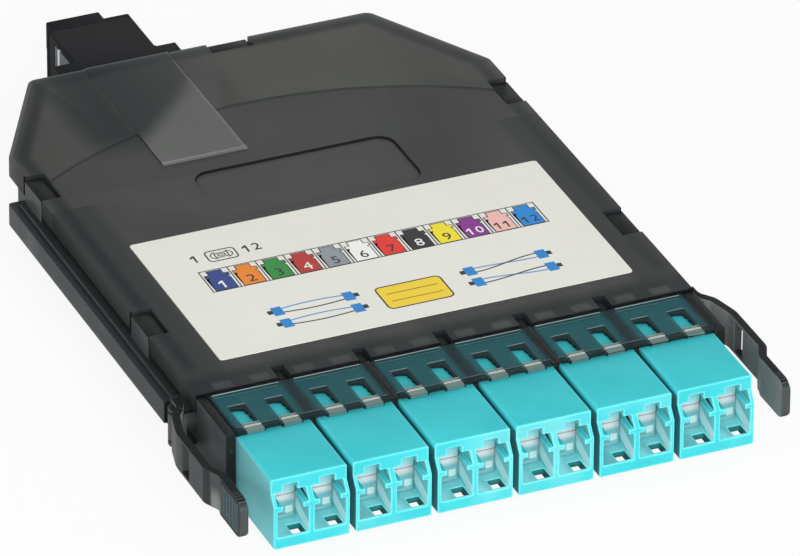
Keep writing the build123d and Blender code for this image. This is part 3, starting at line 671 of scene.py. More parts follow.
def aqua_material():
    """Satin aqua moulding with flow marks and small scuffs, painted highlights along its edges, painted light
    on its flanks and port walls, and painted shade between adapters, in port windows and at the rear ends
    under the cover.
    """
    finish = Finish("aqua_adapter")
    x, y, z = finish.places()
    flow = finish.noise(120.0, 4.0, 0.6)
    streak = finish.noise(260.0, 3.0, 0.6, stretch=(1.0, 0.25, 1.0))
    fine = finish.noise(6500.0, 2.0, 0.6)
    scuff = finish.fade(finish.noise(900.0, 4.0, 0.7, stretch=(1.0, 0.3, 1.0)), 0.68, 0.76)
    pale_cloud = finish.noise(48.0, 3.0, 0.65)
    in_port = (x.lap(ADAPTER_STEP) - ADAPTER_STEP / 2).size() < PORT_PAIR_HALF
    flank = finish.flanks()
    depth = y - FACE_Y

    finish.colour = finish.mix(flow, shade(48, 174, 183), shade(68, 195, 202))
    # painted light: the flanks, which get less light, are painted paler
    finish.paint(flank * (0.45 + pale_cloud * 0.45), shade(140, 208, 212))
    between_two = flank * (1 - in_port) * (x.size() < ROW_HALF)
    # painted shade on the flanks in the gaps between adapters, and painted light along their upper part
    finish.paint(between_two * 0.8, shade(20, 84, 92))
    finish.paint(between_two * finish.fade(z, 11.5, 11.9) * 0.9, shade(56, 224, 232))
    front = finish.fade(finish.facing(1), -0.6, -0.95)
    finish.paint(front * finish.fade(pale_cloud, 0.45, 0.75) * 0.35, shade(150, 214, 212))

    slope = z - 3.35 - depth * FLOOR_SLOPE
    ramp = finish.between(slope, -1.4, 1.0, 0.2) * (depth > 0.1) * (depth < 5.6) * in_port
    # painted light: a pale slanting band on the side walls inside each port
    finish.paint(flank * ramp * 0.85, shade(206, 244, 245))
    port_floor = finish.fade(finish.facing(2), 0.6, 0.9) * (z < 3.1) * in_port
    finish.paint(port_floor * (0.2 + pale_cloud * 0.5), shade(170, 222, 224))
    in_window = (z < 2.62) * (depth > 0.7) * (depth < 4.5) * in_port
    # painted shade on the walls of the window in each port's floor
    window_wall = in_window * finish.fade(finish.facing(2).size(), 0.6, 0.4)
    finish.paint(window_wall * 0.85, shade(34, 92, 90))

    # painted highlight along every edge, except in the shaded windows
    finish.paint(finish.edges(0.50, 0.08) * 0.8 * (1 - window_wall), shade(134, 246, 248))
    # painted shade on the rear ends of the adapters, under the cover
    finish.paint(finish.fade(y, -46.0, -45.7), shade(14, 24, 26))
    finish.paint(scuff * 0.10, shade(190, 235, 236))
    varying = {
        "Roughness": 0.34 + streak * 0.14 + scuff * 0.15,
        "Normal": finish.bump(fine * 0.3 + streak * 0.35 + scuff * 0.3, 0.016),
    }
    return finish.surface(varying, {"Specular IOR Level": 0.12, "IOR": 1.5})


aqua_finish = aqua_material()
print("aqua finish:", aqua_finish.name)

# %% [markdown]
# ## Sheet steel, black plastic and the small parts inside
#
# The port shutters and the rear clip are thin rolled steel. Rolling leaves
# long fine lines, so a noise stretched along one axis drives both bump and
# roughness. The rear adapter is matt black with a spark-eroded grain. The
# parts inside the case only need a plain moulded look, since they are seen
# through smoked plastic, but each still gets its grain and its wear.

# %% Steel
def steel_material(name, colour, gloss, line_axis, metallic, marks):
    """Rolled sheet: fine lines along one axis, soft stains, painted highlights along its edges, and a piece's
    own marks, which include painted reflections and highlights.
    """
    finish = Finish(name)
    stretch = [1.0, 1.0, 1.0]
    stretch[line_axis] = 0.03
    lines = finish.noise(3200.0, 3.0, 0.6, stretch=tuple(stretch))
    stain = finish.noise(180.0, 3.0, 0.6)
    finish.colour = finish.mix(stain, toned(colour, 0.82), colour)
    # painted highlight along every edge
    finish.paint(finish.edges(0.12) * 0.4, shade(225, 226, 226))
    marks(finish)
    varying = {"Roughness": gloss + lines * 0.15 + stain * 0.08, "Normal": finish.bump(lines, 0.006)}
    return finish.surface(varying, {"Metallic": metallic, "IOR": 1.6, "Specular IOR Level": 0.3})


def shutter_marks(finish):
    """Fold line across the flap, and a painted reflection of the adapter's aqua above and below it."""
    x, y, z = finish.places()
    lane = x.lap(ADAPTER_STEP) - ADAPTER_STEP / 2
    across = lane - lane.sign() * PORT_OFFSET
    # painted reflection of the aqua, below and above the fold
    finish.paint(finish.fade(z, 6.4, 5.4) * 0.8, shade(72, 160, 166))
    catch = finish.between(across, 0.9, 2.1, 0.08) * finish.between(z, 3.5, 4.7, 0.08)
    finish.paint(catch * 0.85, shade(200, 222, 220))
    finish.paint(finish.fade(z, 7.1, 7.8) * 0.7, shade(120, 212, 216))
    finish.paint(finish.between(z, 6.92, 7.06, 0.03) * 0.8, shade(70, 84, 88))


def clip_marks(finish):
    """Painted highlight: a bright line where the sheet folds round the adapter's corner."""
    finish.paint(finish.between(finish.along(1), 68.2, 69.0, 0.1), shade(236, 244, 248))


shutter_finish = steel_material("shutter_steel", shade(208, 214, 216), 0.38, 0, 0.15, shutter_marks)
clip_finish = steel_material("clip_steel", shade(92, 98, 102), 0.25, 2, 0.6, clip_marks)
print("steel finishes:", shutter_finish.name, clip_finish.name)


# %% Moulded parts in solid colours
def moulded_material(name, colour, gloss, grain=0.6, pale=0.25, sheen=0.2):
    """Solid-coloured moulding with flow clouds, grain, pale rubbed patches and painted highlights along its
    edges.
    """
    finish = Finish(name)
    flow = finish.noise(160.0, 4.0, 0.6)
    fine = finish.noise(4200.0, 2.0, 0.7)
    rub = finish.fade(finish.noise(700.0, 4.0, 0.7, stretch=(1.0, 0.3, 1.0)), 0.66, 0.74)
    pale_tone = toned(colour, 1.5, 0.06)
    finish.colour = finish.mix(flow, toned(colour, 0.8), toned(colour, 1.2))
    # painted highlight along every edge; the pale argument sets how strong it is
    finish.paint(finish.edges(0.18) * pale, pale_tone)
    finish.paint(rub * 0.12, pale_tone)
    varying = {"Roughness": gloss + flow * 0.1 + rub * 0.1, "Normal": finish.bump(fine * grain, 0.014)}
    return finish.surface(varying, {"Specular IOR Level": sheen, "IOR": 1.5})


black_finish = moulded_material("rear_adapter_black", shade(36, 37, 39), 0.42, pale=0.15, sheen=0.02)
cap_finish = moulded_material("cap_black", shade(34, 35, 37), 0.50, grain=1.0, pale=0.12, sheen=0.02)
inner_plug_finish = moulded_material("inner_plug", shade(205, 200, 180), 0.40)
inner_mf_finish = moulded_material("inner_mf_plug", shade(60, 165, 175), 0.40)
fan_out_finish = moulded_material("fan_out_grey", shade(96, 98, 100), 0.50)
ribbon_finish = moulded_material("ribbon_aqua", shade(70, 175, 185), 0.45)
print("materials so far:", len(bpy.data.materials))

# %% [markdown]
# ## Rounded edges
#
# A solid straight from CAD has edges as sharp as a drawing, and nothing real
# has. A narrow bevel catches a line of light along each edge, which is what
# makes a small plastic part look moulded. The solid's own mesh is left alone:
# a copy is cleaned, bevelled and turned into a plain mesh, and stands in for
# the solid.

# %% Helpers that round a copy of a solid
MERGE_DISTANCE = 0.003
FLAT_ANGLE = 1.0


def merged_copy(node, distance=MERGE_DISTANCE):
    """One solid's loose triangles, joined at their corners."""
    shell = bmesh.new()
    shell.from_mesh(frame["nodes"][node].data)
    bmesh.ops.remove_doubles(shell, verts=shell.verts, dist=distance * MM)
    return shell


def clean_copy(node):
    """One solid with its triangles joined into whole flat faces."""
    shell = merged_copy(node)
    bmesh.ops.dissolve_limit(
        shell, angle_limit=math.radians(FLAT_ANGLE), verts=shell.verts, edges=shell.edges)
    return shell


def softened(node, shell, width, material):
    """Round the sharp edges of a shell by a width in mm, and let it stand in for a solid."""
    for face in shell.faces:
        face.smooth = True
    piece = put(node + "_rounded", mesh_of(shell, node + "_rounded"))
    bevel = piece.modifiers.new("edge", "BEVEL")
    bevel.width = width * MM
    bevel.segments = 2
    bevel.limit_method = "ANGLE"
    bevel.angle_limit = math.radians(35.0)
    bevel.use_clamp_overlap = False
    bevel.harden_normals = True
    settle(piece)
    piece.data.materials.clear()
    piece.data.materials.append(material)
    body = next(name for name, nodes in frame["record"]["behaviour"]["bodies"].items() if node in nodes)
    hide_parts(node)
    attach(piece, body)
    print(node, "has", len(piece.data.polygons), "faces")


# %% Round the case and the adapters
softened("base_tray", clean_copy("base_tray"), 0.18, tray_finish)
softened("top_cover", clean_copy("top_cover"), 0.16, cover_finish)
softened("multi_fibre_adapter", clean_copy("multi_fibre_adapter"), 0.20, black_finish)
softened("dust_cap", clean_copy("dust_cap"), 0.25, cap_finish)
for i in range(1, ADAPTER_COUNT + 1):
    softened(f"port_adapter_{i}", clean_copy(f"port_adapter_{i}"), 0.14, aqua_finish)

# %% [markdown]
# ## Release levers
#
# Each lever is a thin sprung arm beside the case. It leaves its root, bows
# outwards, has one window, steps back in and ends in a finger grip with a
# rounded nose. Its solid is a little stouter than the real lever, so a finer
# shape stands in for it, within the solid's room. It is made of rings along a
# route: every ring has eight corners, and where the window is, the rings are
# joined by the window's own walls instead.

# %% Sizes of a lever
ROOT_X, ROOT_Y, ROOT_RADIUS, ROOT_LOW, ROOT_TOP = 44.3, -41.4, 1.5, 4.2, 9.2
NECK, BOW = Vector((44.35, -42.9)), Vector((46.2, -45.4))
ARM_X, GRIP_X, NOSE_Y = 47.4, 46.1, -73.2
HALF_THICKNESS = 0.7
ARM_LOW, ARM_TOP, GRIP_LOW, NECK_TOP = 4.7, 11.1, 4.2, 9.15
ARM_START_Y, GRIP_START_Y = -43.45, -64.9
NOSE_RADIUS_TOP, NOSE_RADIUS_LOW = 1.9, 1.7
LEVER_WINDOW_REAR, LEVER_WINDOW_FRONT = -52.5, -55.3
LEVER_WINDOW_LOW, LEVER_WINDOW_TOP = 5.3, 10.5
STRAP_PATH = ((44.3, -40.4), (44.3, -42.4), (44.85, -43.7))
STRAP_LOW, STRAP_TOP = 10.35, 11.09
print("lever arm is", 2 * HALF_THICKNESS, "mm thick")


# %% Route and heights of a lever
def eased(path, radii, steps=5):
    """The path with each corner turned into a short curve."""
    curve = [Vector(path[0])]
    for before, corner, after, radius in zip(path, path[1:], path[2:], radii):
        before, corner, after = Vector(before), Vector(corner), Vector(after)
        back, ahead = (before - corner).normalized(), (after - corner).normalized()
        reach = radius / math.tan(back.angle(ahead) / 2)
        first, last = corner + back * reach, corner + ahead * reach
        for i in range(steps + 1):
            t = i / steps
            curve.append(first * (1 - t) ** 2 + corner * 2 * t * (1 - t) + last * t ** 2)
    return curve + [Vector(path[-1])]


def heights(y):
    """Lowest and highest point of the lever at one place along it."""
    low = GRIP_LOW if y < GRIP_START_Y else ARM_LOW
    top = NECK_TOP if y > ARM_START_Y else ARM_TOP
    return low + nose_drop(y, NOSE_RADIUS_LOW), top - nose_drop(y, NOSE_RADIUS_TOP)


def nose_drop(y, radius):
    """How far the rounded nose has come in from its full height."""
    into = min(max(NOSE_Y + radius - y, 0.0), radius)
    return radius - math.sqrt(radius * radius - into * into)


route = eased(
    [(ROOT_X, ROOT_Y), NECK, BOW, (ARM_X, -50.2), (ARM_X, -61.4), (GRIP_X, -64.2), (GRIP_X, NOSE_Y)],
    [2.0, 3.0, 6.0, 1.8, 1.8],
)
for y in (ARM_START_Y + 0.05, ARM_START_Y - 0.05):
    route.append(NECK.lerp(BOW, (NECK.y - y) / (NECK.y - BOW.y)))
for y in (LEVER_WINDOW_REAR, LEVER_WINDOW_FRONT):
    route.append(Vector((ARM_X, y)))
for y in (GRIP_START_Y - 0.05, -71.3, -71.5, -72.0, -72.4, -72.75, -73.0, -73.13):
    route.append(Vector((GRIP_X, y)))
route.sort(key=lambda place: -place.y)
print("lever route has", len(route), "places")


# %% Skin of a lever
def ring_of(shell, side, i):
    """Eight corners round the lever at one place of its route."""
    here = route[i]
    run = (route[min(i + 1, len(route) - 1)] - route[max(i - 1, 0)]).normalized()
    out = Vector((-run.y, run.x)) * HALF_THICKNESS
    low, top = heights(here.y)
    levels = (low, max(LEVER_WINDOW_LOW, low + 0.3), min(LEVER_WINDOW_TOP, top - 0.3), top)
    ring = [(here + out, z) for z in levels] + [(here - out, z) for z in reversed(levels)]
    return [shell.verts.new((side * place.x * MM, place.y * MM, z * MM)) for place, z in ring]


def join_rings(shell, a, b, open_sides=()):
    """Faces between two rings, apart from the sides that stay open."""
    for k in range(len(a)):
        if k not in open_sides:
            n = (k + 1) % len(a)
            shell.faces.new((a[k], a[n], b[n], b[k]))


def add_strap(shell, side):
    """The short strap that runs back from the arm over the ear of the rail."""
    strap = []
    for x, y in STRAP_PATH:
        section = (
            (HALF_THICKNESS, STRAP_LOW), (HALF_THICKNESS, STRAP_TOP),
            (-HALF_THICKNESS, STRAP_TOP), (-HALF_THICKNESS, STRAP_LOW),
        )
        strap.append([shell.verts.new((side * (x + out) * MM, y * MM, z * MM)) for out, z in section])
    for a, b in zip(strap, strap[1:]):
        join_rings(shell, a, b)
    shell.faces.new(strap[0])
    shell.faces.new(strap[-1])


def lever_shell(side):
    """Rings along the route, joined into one closed skin, with a round root and a strap."""
    shell = bmesh.new()
    rings = [ring_of(shell, side, i) for i in range(len(route))]
    for here, a, b in zip(route, rings, rings[1:]):
        if abs(here.y - LEVER_WINDOW_REAR) < 0.01:
            join_rings(shell, a, b, open_sides=(1, 5))
            shell.faces.new((a[1], b[1], b[6], a[6]))
            shell.faces.new((a[2], b[2], b[5], a[5]))
            shell.faces.new((a[1], a[2], a[5], a[6]))
            shell.faces.new((b[1], b[2], b[5], b[6]))
        else:
            join_rings(shell, a, b)
    for end in (rings[0], rings[-1]):
        for k in range(3):
            shell.faces.new((end[k], end[k + 1], end[6 - k], end[7 - k]))
    add_strap(shell, side)
    root = Vector((side * ROOT_X, ROOT_Y, (ROOT_LOW + ROOT_TOP) / 2)) * MM
    bmesh.ops.create_cone(
        shell, cap_ends=True, segments=24, radius1=ROOT_RADIUS * MM, radius2=ROOT_RADIUS * MM,
        depth=(ROOT_TOP - ROOT_LOW) * MM, matrix=Matrix.Translation(root))
    bmesh.ops.recalc_face_normals(shell, faces=shell.faces)
    return shell


for side, name in SIDES:
    softened(f"{name}_release_lever", lever_shell(side), 0.22, lever_finish)

# %% Finishes of the solids that stay as they are
kept = {
    "adapter_clip": clip_finish,
    "inner_multi_fibre_plug": inner_mf_finish,
    "fan_out_block": fan_out_finish,
    "ribbon_lead": ribbon_finish,
}
for i in range(1, ADAPTER_COUNT + 1):
    kept[f"inner_plugs_{i}"] = inner_plug_finish
for i in range(1, 2 * ADAPTER_COUNT + 1):
    kept[f"port_shutter_{i:02d}"] = shutter_finish
for node, material in kept.items():
    for slot in frame["nodes"][node].material_slots:
        slot.material = material
print("kept solids:", len(kept))

# %% [markdown]
# ## Things that repeat
#
# Ribs, ruled lines and printed plugs all repeat at one step. Copying them in
# Python would work, but a tree of Geometry Nodes says the same thing once: a
# line of points, and the given shape set on each of them. The tree takes the
# count and the step as named inputs, and ends in plain geometry.

# %% A row of copies in Geometry Nodes
class Recipe(Network):
    """A Geometry Nodes tree with named inputs."""

    def __init__(self, name, inputs):
        tree = bpy.data.node_groups.new(name, "GeometryNodeTree")
        super().__init__(tree)
        tree.interface.new_socket("Geometry", in_out="OUTPUT", socket_type="NodeSocketGeometry")
        self.keys = {}
        for label, kind in inputs.items():
            socket = tree.interface.new_socket(label, in_out="INPUT", socket_type=kind)
            self.keys[label] = socket.identifier
        self.start = tree.nodes.new("NodeGroupInput")

    def given(self, label):
        """One of the tree's inputs."""
        return Wire(self, self.start.outputs[label])

    def finished(self, geometry, material):
        """End the tree: turn copies into real geometry and give it its material."""
        real = self.node("GeometryNodeRealizeInstances", None, {0: geometry})
        dressed = self.node("GeometryNodeSetMaterial", None, {"Geometry": real, "Material": material})
        self.node("NodeGroupOutput", None, {0: dressed}, out=None)

    def cook(self, name, shape, values):
        """Run the tree on a mesh and keep the result as a plain mesh object."""
        piece = put(name, shape)
        modifier = piece.modifiers.new(name, "NODES")
        modifier.node_group = self.tree
        for label, value in values.items():
            modifier[self.keys[label]] = value
        return settle(piece)


row = Recipe("row_of_copies", {
    "Shape": "NodeSocketGeometry",
    "Count": "NodeSocketInt",
    "First": "NodeSocketVector",
    "Step": "NodeSocketVector",
    "Finish": "NodeSocketMaterial",
})
points = row.node("GeometryNodeMeshLine", {"mode": "OFFSET"}, {
    "Count": row.given("Count"), "Start Location": row.given("First"), "Offset": row.given("Step"),
})
copies = row.node("GeometryNodeInstanceOnPoints", None, {"Points": points, "Instance": row.given("Shape")})
row.finished(copies, row.given("Finish"))
print("row of copies has", len(row.tree.nodes), "nodes")

# %% [markdown]
# ## Painted shade in the windows
#
# The front band has a window over each port. Looking in, one sees aqua, but
# also the window's thick rear and right walls in shade, as a dark angle with a
# rough inner edge, where the adapter's catch sits. A dark piece stands in for
# that shade: one flat outline, given a thickness and set in every window. The
# windows stand in pairs, so the row tree is used twice, once for each window of
# a pair.

# %% Dark pieces of painted shade in the windows
WALL_LOW, WALL_TOP = 12.66, 13.22


def raise_outline(shell, outline, low, high):
    """Add a closed plate with the given outline, between two heights; sizes in millimetres."""
    face = shell.faces.new([shell.verts.new((x * MM, y * MM, low * MM)) for x, y in outline])
    grown = bmesh.ops.extrude_face_region(shell, geom=[face])
    top = [item for item in grown["geom"] if isinstance(item, bmesh.types.BMVert)]
    bmesh.ops.translate(shell, verts=top, vec=(0.0, 0.0, (high - low) * MM))


def slab(name, outline, low, high):
    """One such plate as a mesh of its own."""
    plate = bmesh.new()
    raise_outline(plate, outline, low, high)
    bmesh.ops.recalc_face_normals(plate, faces=plate.faces)
    return mesh_of(plate, name)


# painted shade: dark pieces where the windows' walls lie in shade
window_shade_finish = moulded_material("window_wall", shade(24, 40, 42), 0.4, sheen=0.05)
wall_angle = [
    (-1.42, -49.48), (-1.42, -50.15), (-0.2, -50.3), (0.78, -50.7), (0.7, -51.4), (0.96, -51.9),
    (0.84, -52.8), (1.08, -53.4), (0.96, -54.3), (1.16, -55.32), (1.42, -55.32), (1.42, -49.48),
]
first_adapter = -(ADAPTER_COUNT - 1) / 2 * ADAPTER_STEP
for side, name in SIDES:
    walls = row.cook(f"window_shades_{name}", slab("window_wall", wall_angle, WALL_LOW, WALL_TOP), {
        "Count": ADAPTER_COUNT,
        "First": ((first_adapter + side * PORT_OFFSET) * MM, 0.0, 0.0),
        "Step": (ADAPTER_STEP * MM, 0.0, 0.0),
        "Finish": window_shade_finish,
    })
    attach(walls, "case")
    print(walls.name, "has", len(walls.data.polygons), "faces")

# %% [markdown]
# ## Ribs on the lever grips
#
# Each lever ends in a grip for a finger, with fine upright ribs on its outer
# face. One rib is a half-round bar. The row tree sets it along the grip, a
# little into the surface, so that no gap shows under it.

# %% Grip ribs
RIB_WIDTH, RIB_PROUD, RIB_LENGTH, RIB_COUNT = 0.22, 0.09, 5.3, 11
RIB_X, RIB_FRONT, RIB_LOW = 46.77, -72.0, 4.95


def half_round(width, proud, length, outward, steps=6):
    """A bar standing up along Z, its round side facing along X; closed at both ends, in mm."""
    bar = bmesh.new()
    rings = []
    for z in (0.0, length):
        ring = []
        for i in range(steps + 1):
            angle = math.pi * (i / steps - 0.5)
            x, y = outward * proud * math.cos(angle), width / 2 * math.sin(angle)
            ring.append(bar.verts.new((x * MM, y * MM, z * MM)))
        rings.append(ring)
    for i in range(steps + 1):
        j = (i + 1) % (steps + 1)
        bar.faces.new((rings[0][i], rings[0][j], rings[1][j], rings[1][i]))
    for ring in rings:
        bar.faces.new(ring)
    bmesh.ops.recalc_face_normals(bar, faces=bar.faces)
    return mesh_of(bar, "rib")


for side, name in SIDES:
    ribs = row.cook(f"{name}_grip_ribs", half_round(RIB_WIDTH, RIB_PROUD, RIB_LENGTH, side), {
        "Count": RIB_COUNT,
        "First": (side * RIB_X * MM, RIB_FRONT * MM, RIB_LOW * MM),
        "Step": (0.0, RIB_STEP * MM, 0.0),
        "Finish": rib_finish,
    })
    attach(ribs, f"{name}_lever")
    print(ribs.name, "has", len(ribs.data.polygons), "faces")

# %% [markdown]
# ## Twelve coloured fibres
#
# Behind the plugs, the ribbon fans out into twelve fibres in the usual twelve
# colours. They come as one solid with twelve loose parts. A copy gets a number
# for each part, stored on its faces, and a stepped colour ramp turns the
# number into the colour.

# %% Fibre tails
FIBRE_COLOURS = [
    shade(40, 90, 170), shade(230, 130, 40), shade(60, 150, 80), shade(130, 80, 55),
    shade(130, 136, 142), shade(235, 235, 232), shade(200, 50, 55), shade(35, 35, 38),
    shade(232, 208, 60), shade(125, 80, 150), shade(225, 150, 170), shade(80, 190, 205),
]


def stepped(finish, value, colours):
    """A ramp that holds one colour for each whole number of the value."""
    stops = [(i / len(colours), colour) for i, colour in enumerate(colours)]
    settings = {"interpolation": "CONSTANT", "stops": stops}
    return finish.node("ShaderNodeValToRGB", settings, {0: (value + 0.5) * (1 / len(colours))})


def loose_parts(shell):
    """The separate lumps of a mesh, as lists of faces."""
    waiting = set(shell.faces)
    lumps = []
    while waiting:
        lump, edge_of = [], [waiting.pop()]
        while edge_of:
            face = edge_of.pop()
            lump.append(face)
            for edge in face.edges:
                for other in edge.link_faces:
                    if other in waiting:
                        waiting.remove(other)
                        edge_of.append(other)
        lumps.append(lump)
    return lumps


def tails_material():
    """Thin coatings in twelve colours, picked by the number of each strand."""
    finish = Finish("fibre_tails")
    strand = finish.node("ShaderNodeAttribute", {"attribute_name": "strand"}, out="Fac")
    mottle = finish.noise(900.0, 3.0, 0.6)
    finish.colour = stepped(finish, strand, FIBRE_COLOURS)
    finish.paint(mottle * 0.25, shade(190, 190, 188))
    bumps = finish.bump(finish.noise(2600.0, 2.0, 0.5), 0.01)
    return finish.surface({"Roughness": 0.35 + mottle * 0.2, "Normal": bumps}, {"Specular IOR Level": 0.35})


def coloured_tails():
    """A copy of the tails with a number on each strand, and the finish that reads it."""
    shell = merged_copy("fibre_tails", 0.002)
    number = shell.faces.layers.float.new("strand")
    lumps = loose_parts(shell)
    lumps.sort(key=lambda lump: min((v.co.y, v.co.x) for face in lump for v in face.verts)[1])
    for i, lump in enumerate(lumps):
        for face in lump:
            face[number] = i
            face.smooth = True
    tails = put("coloured_tails", mesh_of(shell, "coloured_tails"))
    tails.data.materials.append(tails_material())
    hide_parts("fibre_tails")
    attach(tails, "case")
    print("strands:", len(lumps))


coloured_tails()

# %% [markdown]
# ## The label
#
# The label is a thin white film stuck on the cover. Its print is ink, a few
# hundredths of a millimetre thick. Painting it in a texture would need an
# image, so each printed shape is its own thin film just above the label, one
# mesh for each ink. Only generic signs are printed: cell lines, small plugs
# with the numbers 1 to 12, cord diagrams and an empty field to write on.

# %% Ink and paper
def inked(finish, gloss=0.45):
    """Close an ink finish over its colour: fine pinholes and a soft grain."""
    grain = finish.noise(9000.0, 2.0, 0.7)
    holes = finish.fade(finish.noise(5200.0, 2.0, 0.6), 0.70, 0.78)
    finish.paint(holes * 0.22, shade(214, 214, 206))
    varying = {"Roughness": gloss + grain * 0.2, "Normal": finish.bump(grain, 0.004)}
    return finish.surface(varying, {"Specular IOR Level": 0.3})


def ink(name, colour):
    """Printed ink in one colour."""
    finish = Finish(name)
    finish.colour = colour
    return inked(finish)


def label_film():
    """White printed film: faint fibres, a soft sheen and painted shade along its edges."""
    finish = Finish("label_face")
    cloud = finish.noise(60.0, 4.0, 0.6)
    grain = finish.noise(7000.0, 3.0, 0.7)
    finish.colour = finish.mix(cloud, shade(222, 222, 214), shade(233, 233, 226))
    # painted shade along the edges
    finish.paint(finish.edges(0.25) * 0.4, shade(180, 180, 172))
    finish.paint(finish.specks(260.0, 0.08, 0.18) * 0.4, shade(150, 148, 140))
    varying = {"Roughness": 0.45 + grain * 0.15, "Normal": finish.bump(grain + cloud * 0.5, 0.005)}
    return finish.surface(varying, {"Specular IOR Level": 0.25})


for slot in frame["nodes"]["label"].material_slots:
    slot.material = label_film()

black_ink = ink("black_ink", shade(38, 38, 40))
white_ink = ink("white_ink", shade(238, 238, 234))
blue_ink = ink("blue_ink", shade(44, 130, 200))
grey_blue_ink = ink("grey_blue_ink", shade(96, 142, 186))
yellow_ink = ink("yellow_ink", shade(238, 206, 60))
print("inks in one colour:", 5)

# %% Ink of the plugs
PLUG_COLOURS = [
    shade(44, 66, 132), shade(230, 132, 44), shade(44, 134, 62), shade(176, 54, 44),
    shade(140, 148, 152), shade(240, 240, 236), shade(222, 54, 42), shade(34, 34, 36),
    shade(238, 222, 50), shade(130, 50, 138), shade(236, 186, 178), shade(36, 132, 208),
]
CELL_COUNT = len(PLUG_COLOURS)
CELL_LEFT, CELL_STEP = -28.2, 58.2 / CELL_COUNT
cells = Finish("twelve_inks")
cells.colour = stepped(cells, (cells.along(0) - CELL_LEFT) * (1 / CELL_STEP) - 0.5, PLUG_COLOURS)
twelve_inks = inked(cells)
print("plug colours:", CELL_COUNT)

# %% Thin printed shapes
LABEL_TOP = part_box("label")[1].z
FILM = 0.018
LINE_LOW, LINE_TOP = -17.4, -10.8
LINE_HALF = 0.10


class Print:
    """Flat shapes of one ink, collected into one mesh; sizes in millimetres."""

    def __init__(self, lift=0.0):
        self.shell = bmesh.new()
        self.low = lift

    def fill(self, outline):
        """A filled outline, as a closed film."""
        raise_outline(self.shell, outline, self.low, self.low + FILM)
        return self

    def bar(self, left, bottom, right, top):
        """A filled rectangle."""
        return self.fill([(left, bottom), (right, bottom), (right, top), (left, top)])

    def line(self, path, width):
        """A stroke of even width along a path."""
        left, right = [], []
        for i, (x, y) in enumerate(path):
            ax, ay = path[max(i - 1, 0)]
            bx, by = path[min(i + 1, len(path) - 1)]
            length = math.hypot(bx - ax, by - ay)
            nx, ny = -(by - ay) / length * width / 2, (bx - ax) / length * width / 2
            left.append((x + nx, y + ny))
            right.append((x - nx, y - ny))
        for i in range(len(path) - 1):
            self.fill([right[i], right[i + 1], left[i + 1], left[i]])
        return self

    def frame(self, left, bottom, right, top, width):
        """A rectangle drawn with a line."""
        half = width / 2
        self.bar(left - half, bottom - half, right + half, bottom + half)
        self.bar(left - half, top - half, right + half, top + half)
        self.bar(left - half, bottom + half, left + half, top - half)
        return self.bar(right - half, bottom + half, right + half, top - half)

    def text(self, words, size, x, y):
        """Figures centred on a point."""
        curve = bpy.data.curves.new("figures", "FONT")
        curve.body = words
        curve.size = size * MM
        curve.align_x = "CENTER"
        curve.align_y = "CENTER"
        curve.resolution_u = 3
        curve.offset = 0.008 * MM
        curve.extrude = FILM / 2 * MM
        holder = put("figures", curve)
        seen = holder.evaluated_get(bpy.context.evaluated_depsgraph_get())
        flat = bpy.data.meshes.new_from_object(seen)
        flat.transform(Matrix.Translation(Vector((x, y, self.low + FILM / 2)) * MM))
        self.shell.from_mesh(flat)
        bpy.data.objects.remove(holder)
        return self

    def mesh(self, name):
        """All the shapes as one closed mesh."""
        bmesh.ops.remove_doubles(self.shell, verts=self.shell.verts, dist=0.0001 * MM)
        bmesh.ops.recalc_face_normals(self.shell, faces=self.shell.faces)
        return mesh_of(self.shell, name)


def on_label(piece):
    """Let a printed piece move with the case."""
    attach(piece, "case")
    return piece


def stick(name, mesh, material):
    """Put a printed mesh on the label."""
    mesh.materials.append(material)
    mesh.transform(Matrix.Translation((0.0, 0.0, LABEL_TOP)))
    return on_label(put(name, mesh))


def plug_outline(grow):
    """A small plug seen from above: wide body, shoulders, ears and a narrow end."""
    body, neck, ear, end = 1.8 + grow, 1.5 + grow, 1.95 + grow, 1.15 + grow
    right = [
        (body, -17.2 - grow), (body, -13.8), (neck, -13.25), (neck, -13.1 - grow),
        (ear, -13.1 - grow), (ear, -12.4 + grow), (end, -12.4 + grow), (end, -11.2 + grow),
    ]
    return right + [(-x, y) for x, y in reversed(right)]


def row_on_label(name, shape, count, first, material):
    """Copies of a printed shape, one cell apart."""
    return on_label(row.cook(name, shape, {
        "Count": count,
        "First": (first * MM, 0.0, LABEL_TOP),
        "Step": (CELL_STEP * MM, 0.0, 0.0),
        "Finish": material,
    }))


middle = CELL_LEFT + CELL_STEP / 2
border = Print(-0.004).fill(plug_outline(0.17)).mesh("plug_border")
filling = Print(0.004).fill(plug_outline(0.0)).mesh("plug_fill")
plug_borders = row_on_label("plug_borders", border, CELL_COUNT, middle, black_ink)
plug_fills = row_on_label("plug_fills", filling, CELL_COUNT, middle, twelve_inks)
print("plug print has", len(plug_borders.data.polygons) + len(plug_fills.data.polygons), "faces")

# %% Cell lines
divider = Print(-0.004).bar(-LINE_HALF, LINE_LOW, LINE_HALF, LINE_TOP).mesh("divider")
row_on_label("cell_dividers", divider, CELL_COUNT + 1, CELL_LEFT, black_ink)
rules = Print(-0.006)
for y in (LINE_LOW, LINE_TOP):
    rules.bar(-28.3, y - LINE_HALF, 30.1, y + LINE_HALF)
stick("cell_rules", rules.mesh("cell_rules"), black_ink)
print("dividers:", CELL_COUNT + 1)

# %% Figures
ON_DARK_PLUGS = (1, 4, 8, 10)


def draw_one(sheet, size, x, y):
    """The figure 1, with the flag that the font leaves out."""
    half, right = 0.35 * size, x + 0.055 * size
    left, flag = x - 0.055 * size, x - 0.24 * size
    sheet.fill([
        (left, y - half), (right, y - half), (right, y + half), (left, y + half),
        (flag, y + 0.19 * size), (flag, y + 0.07 * size), (left, y + 0.17 * size),
    ])


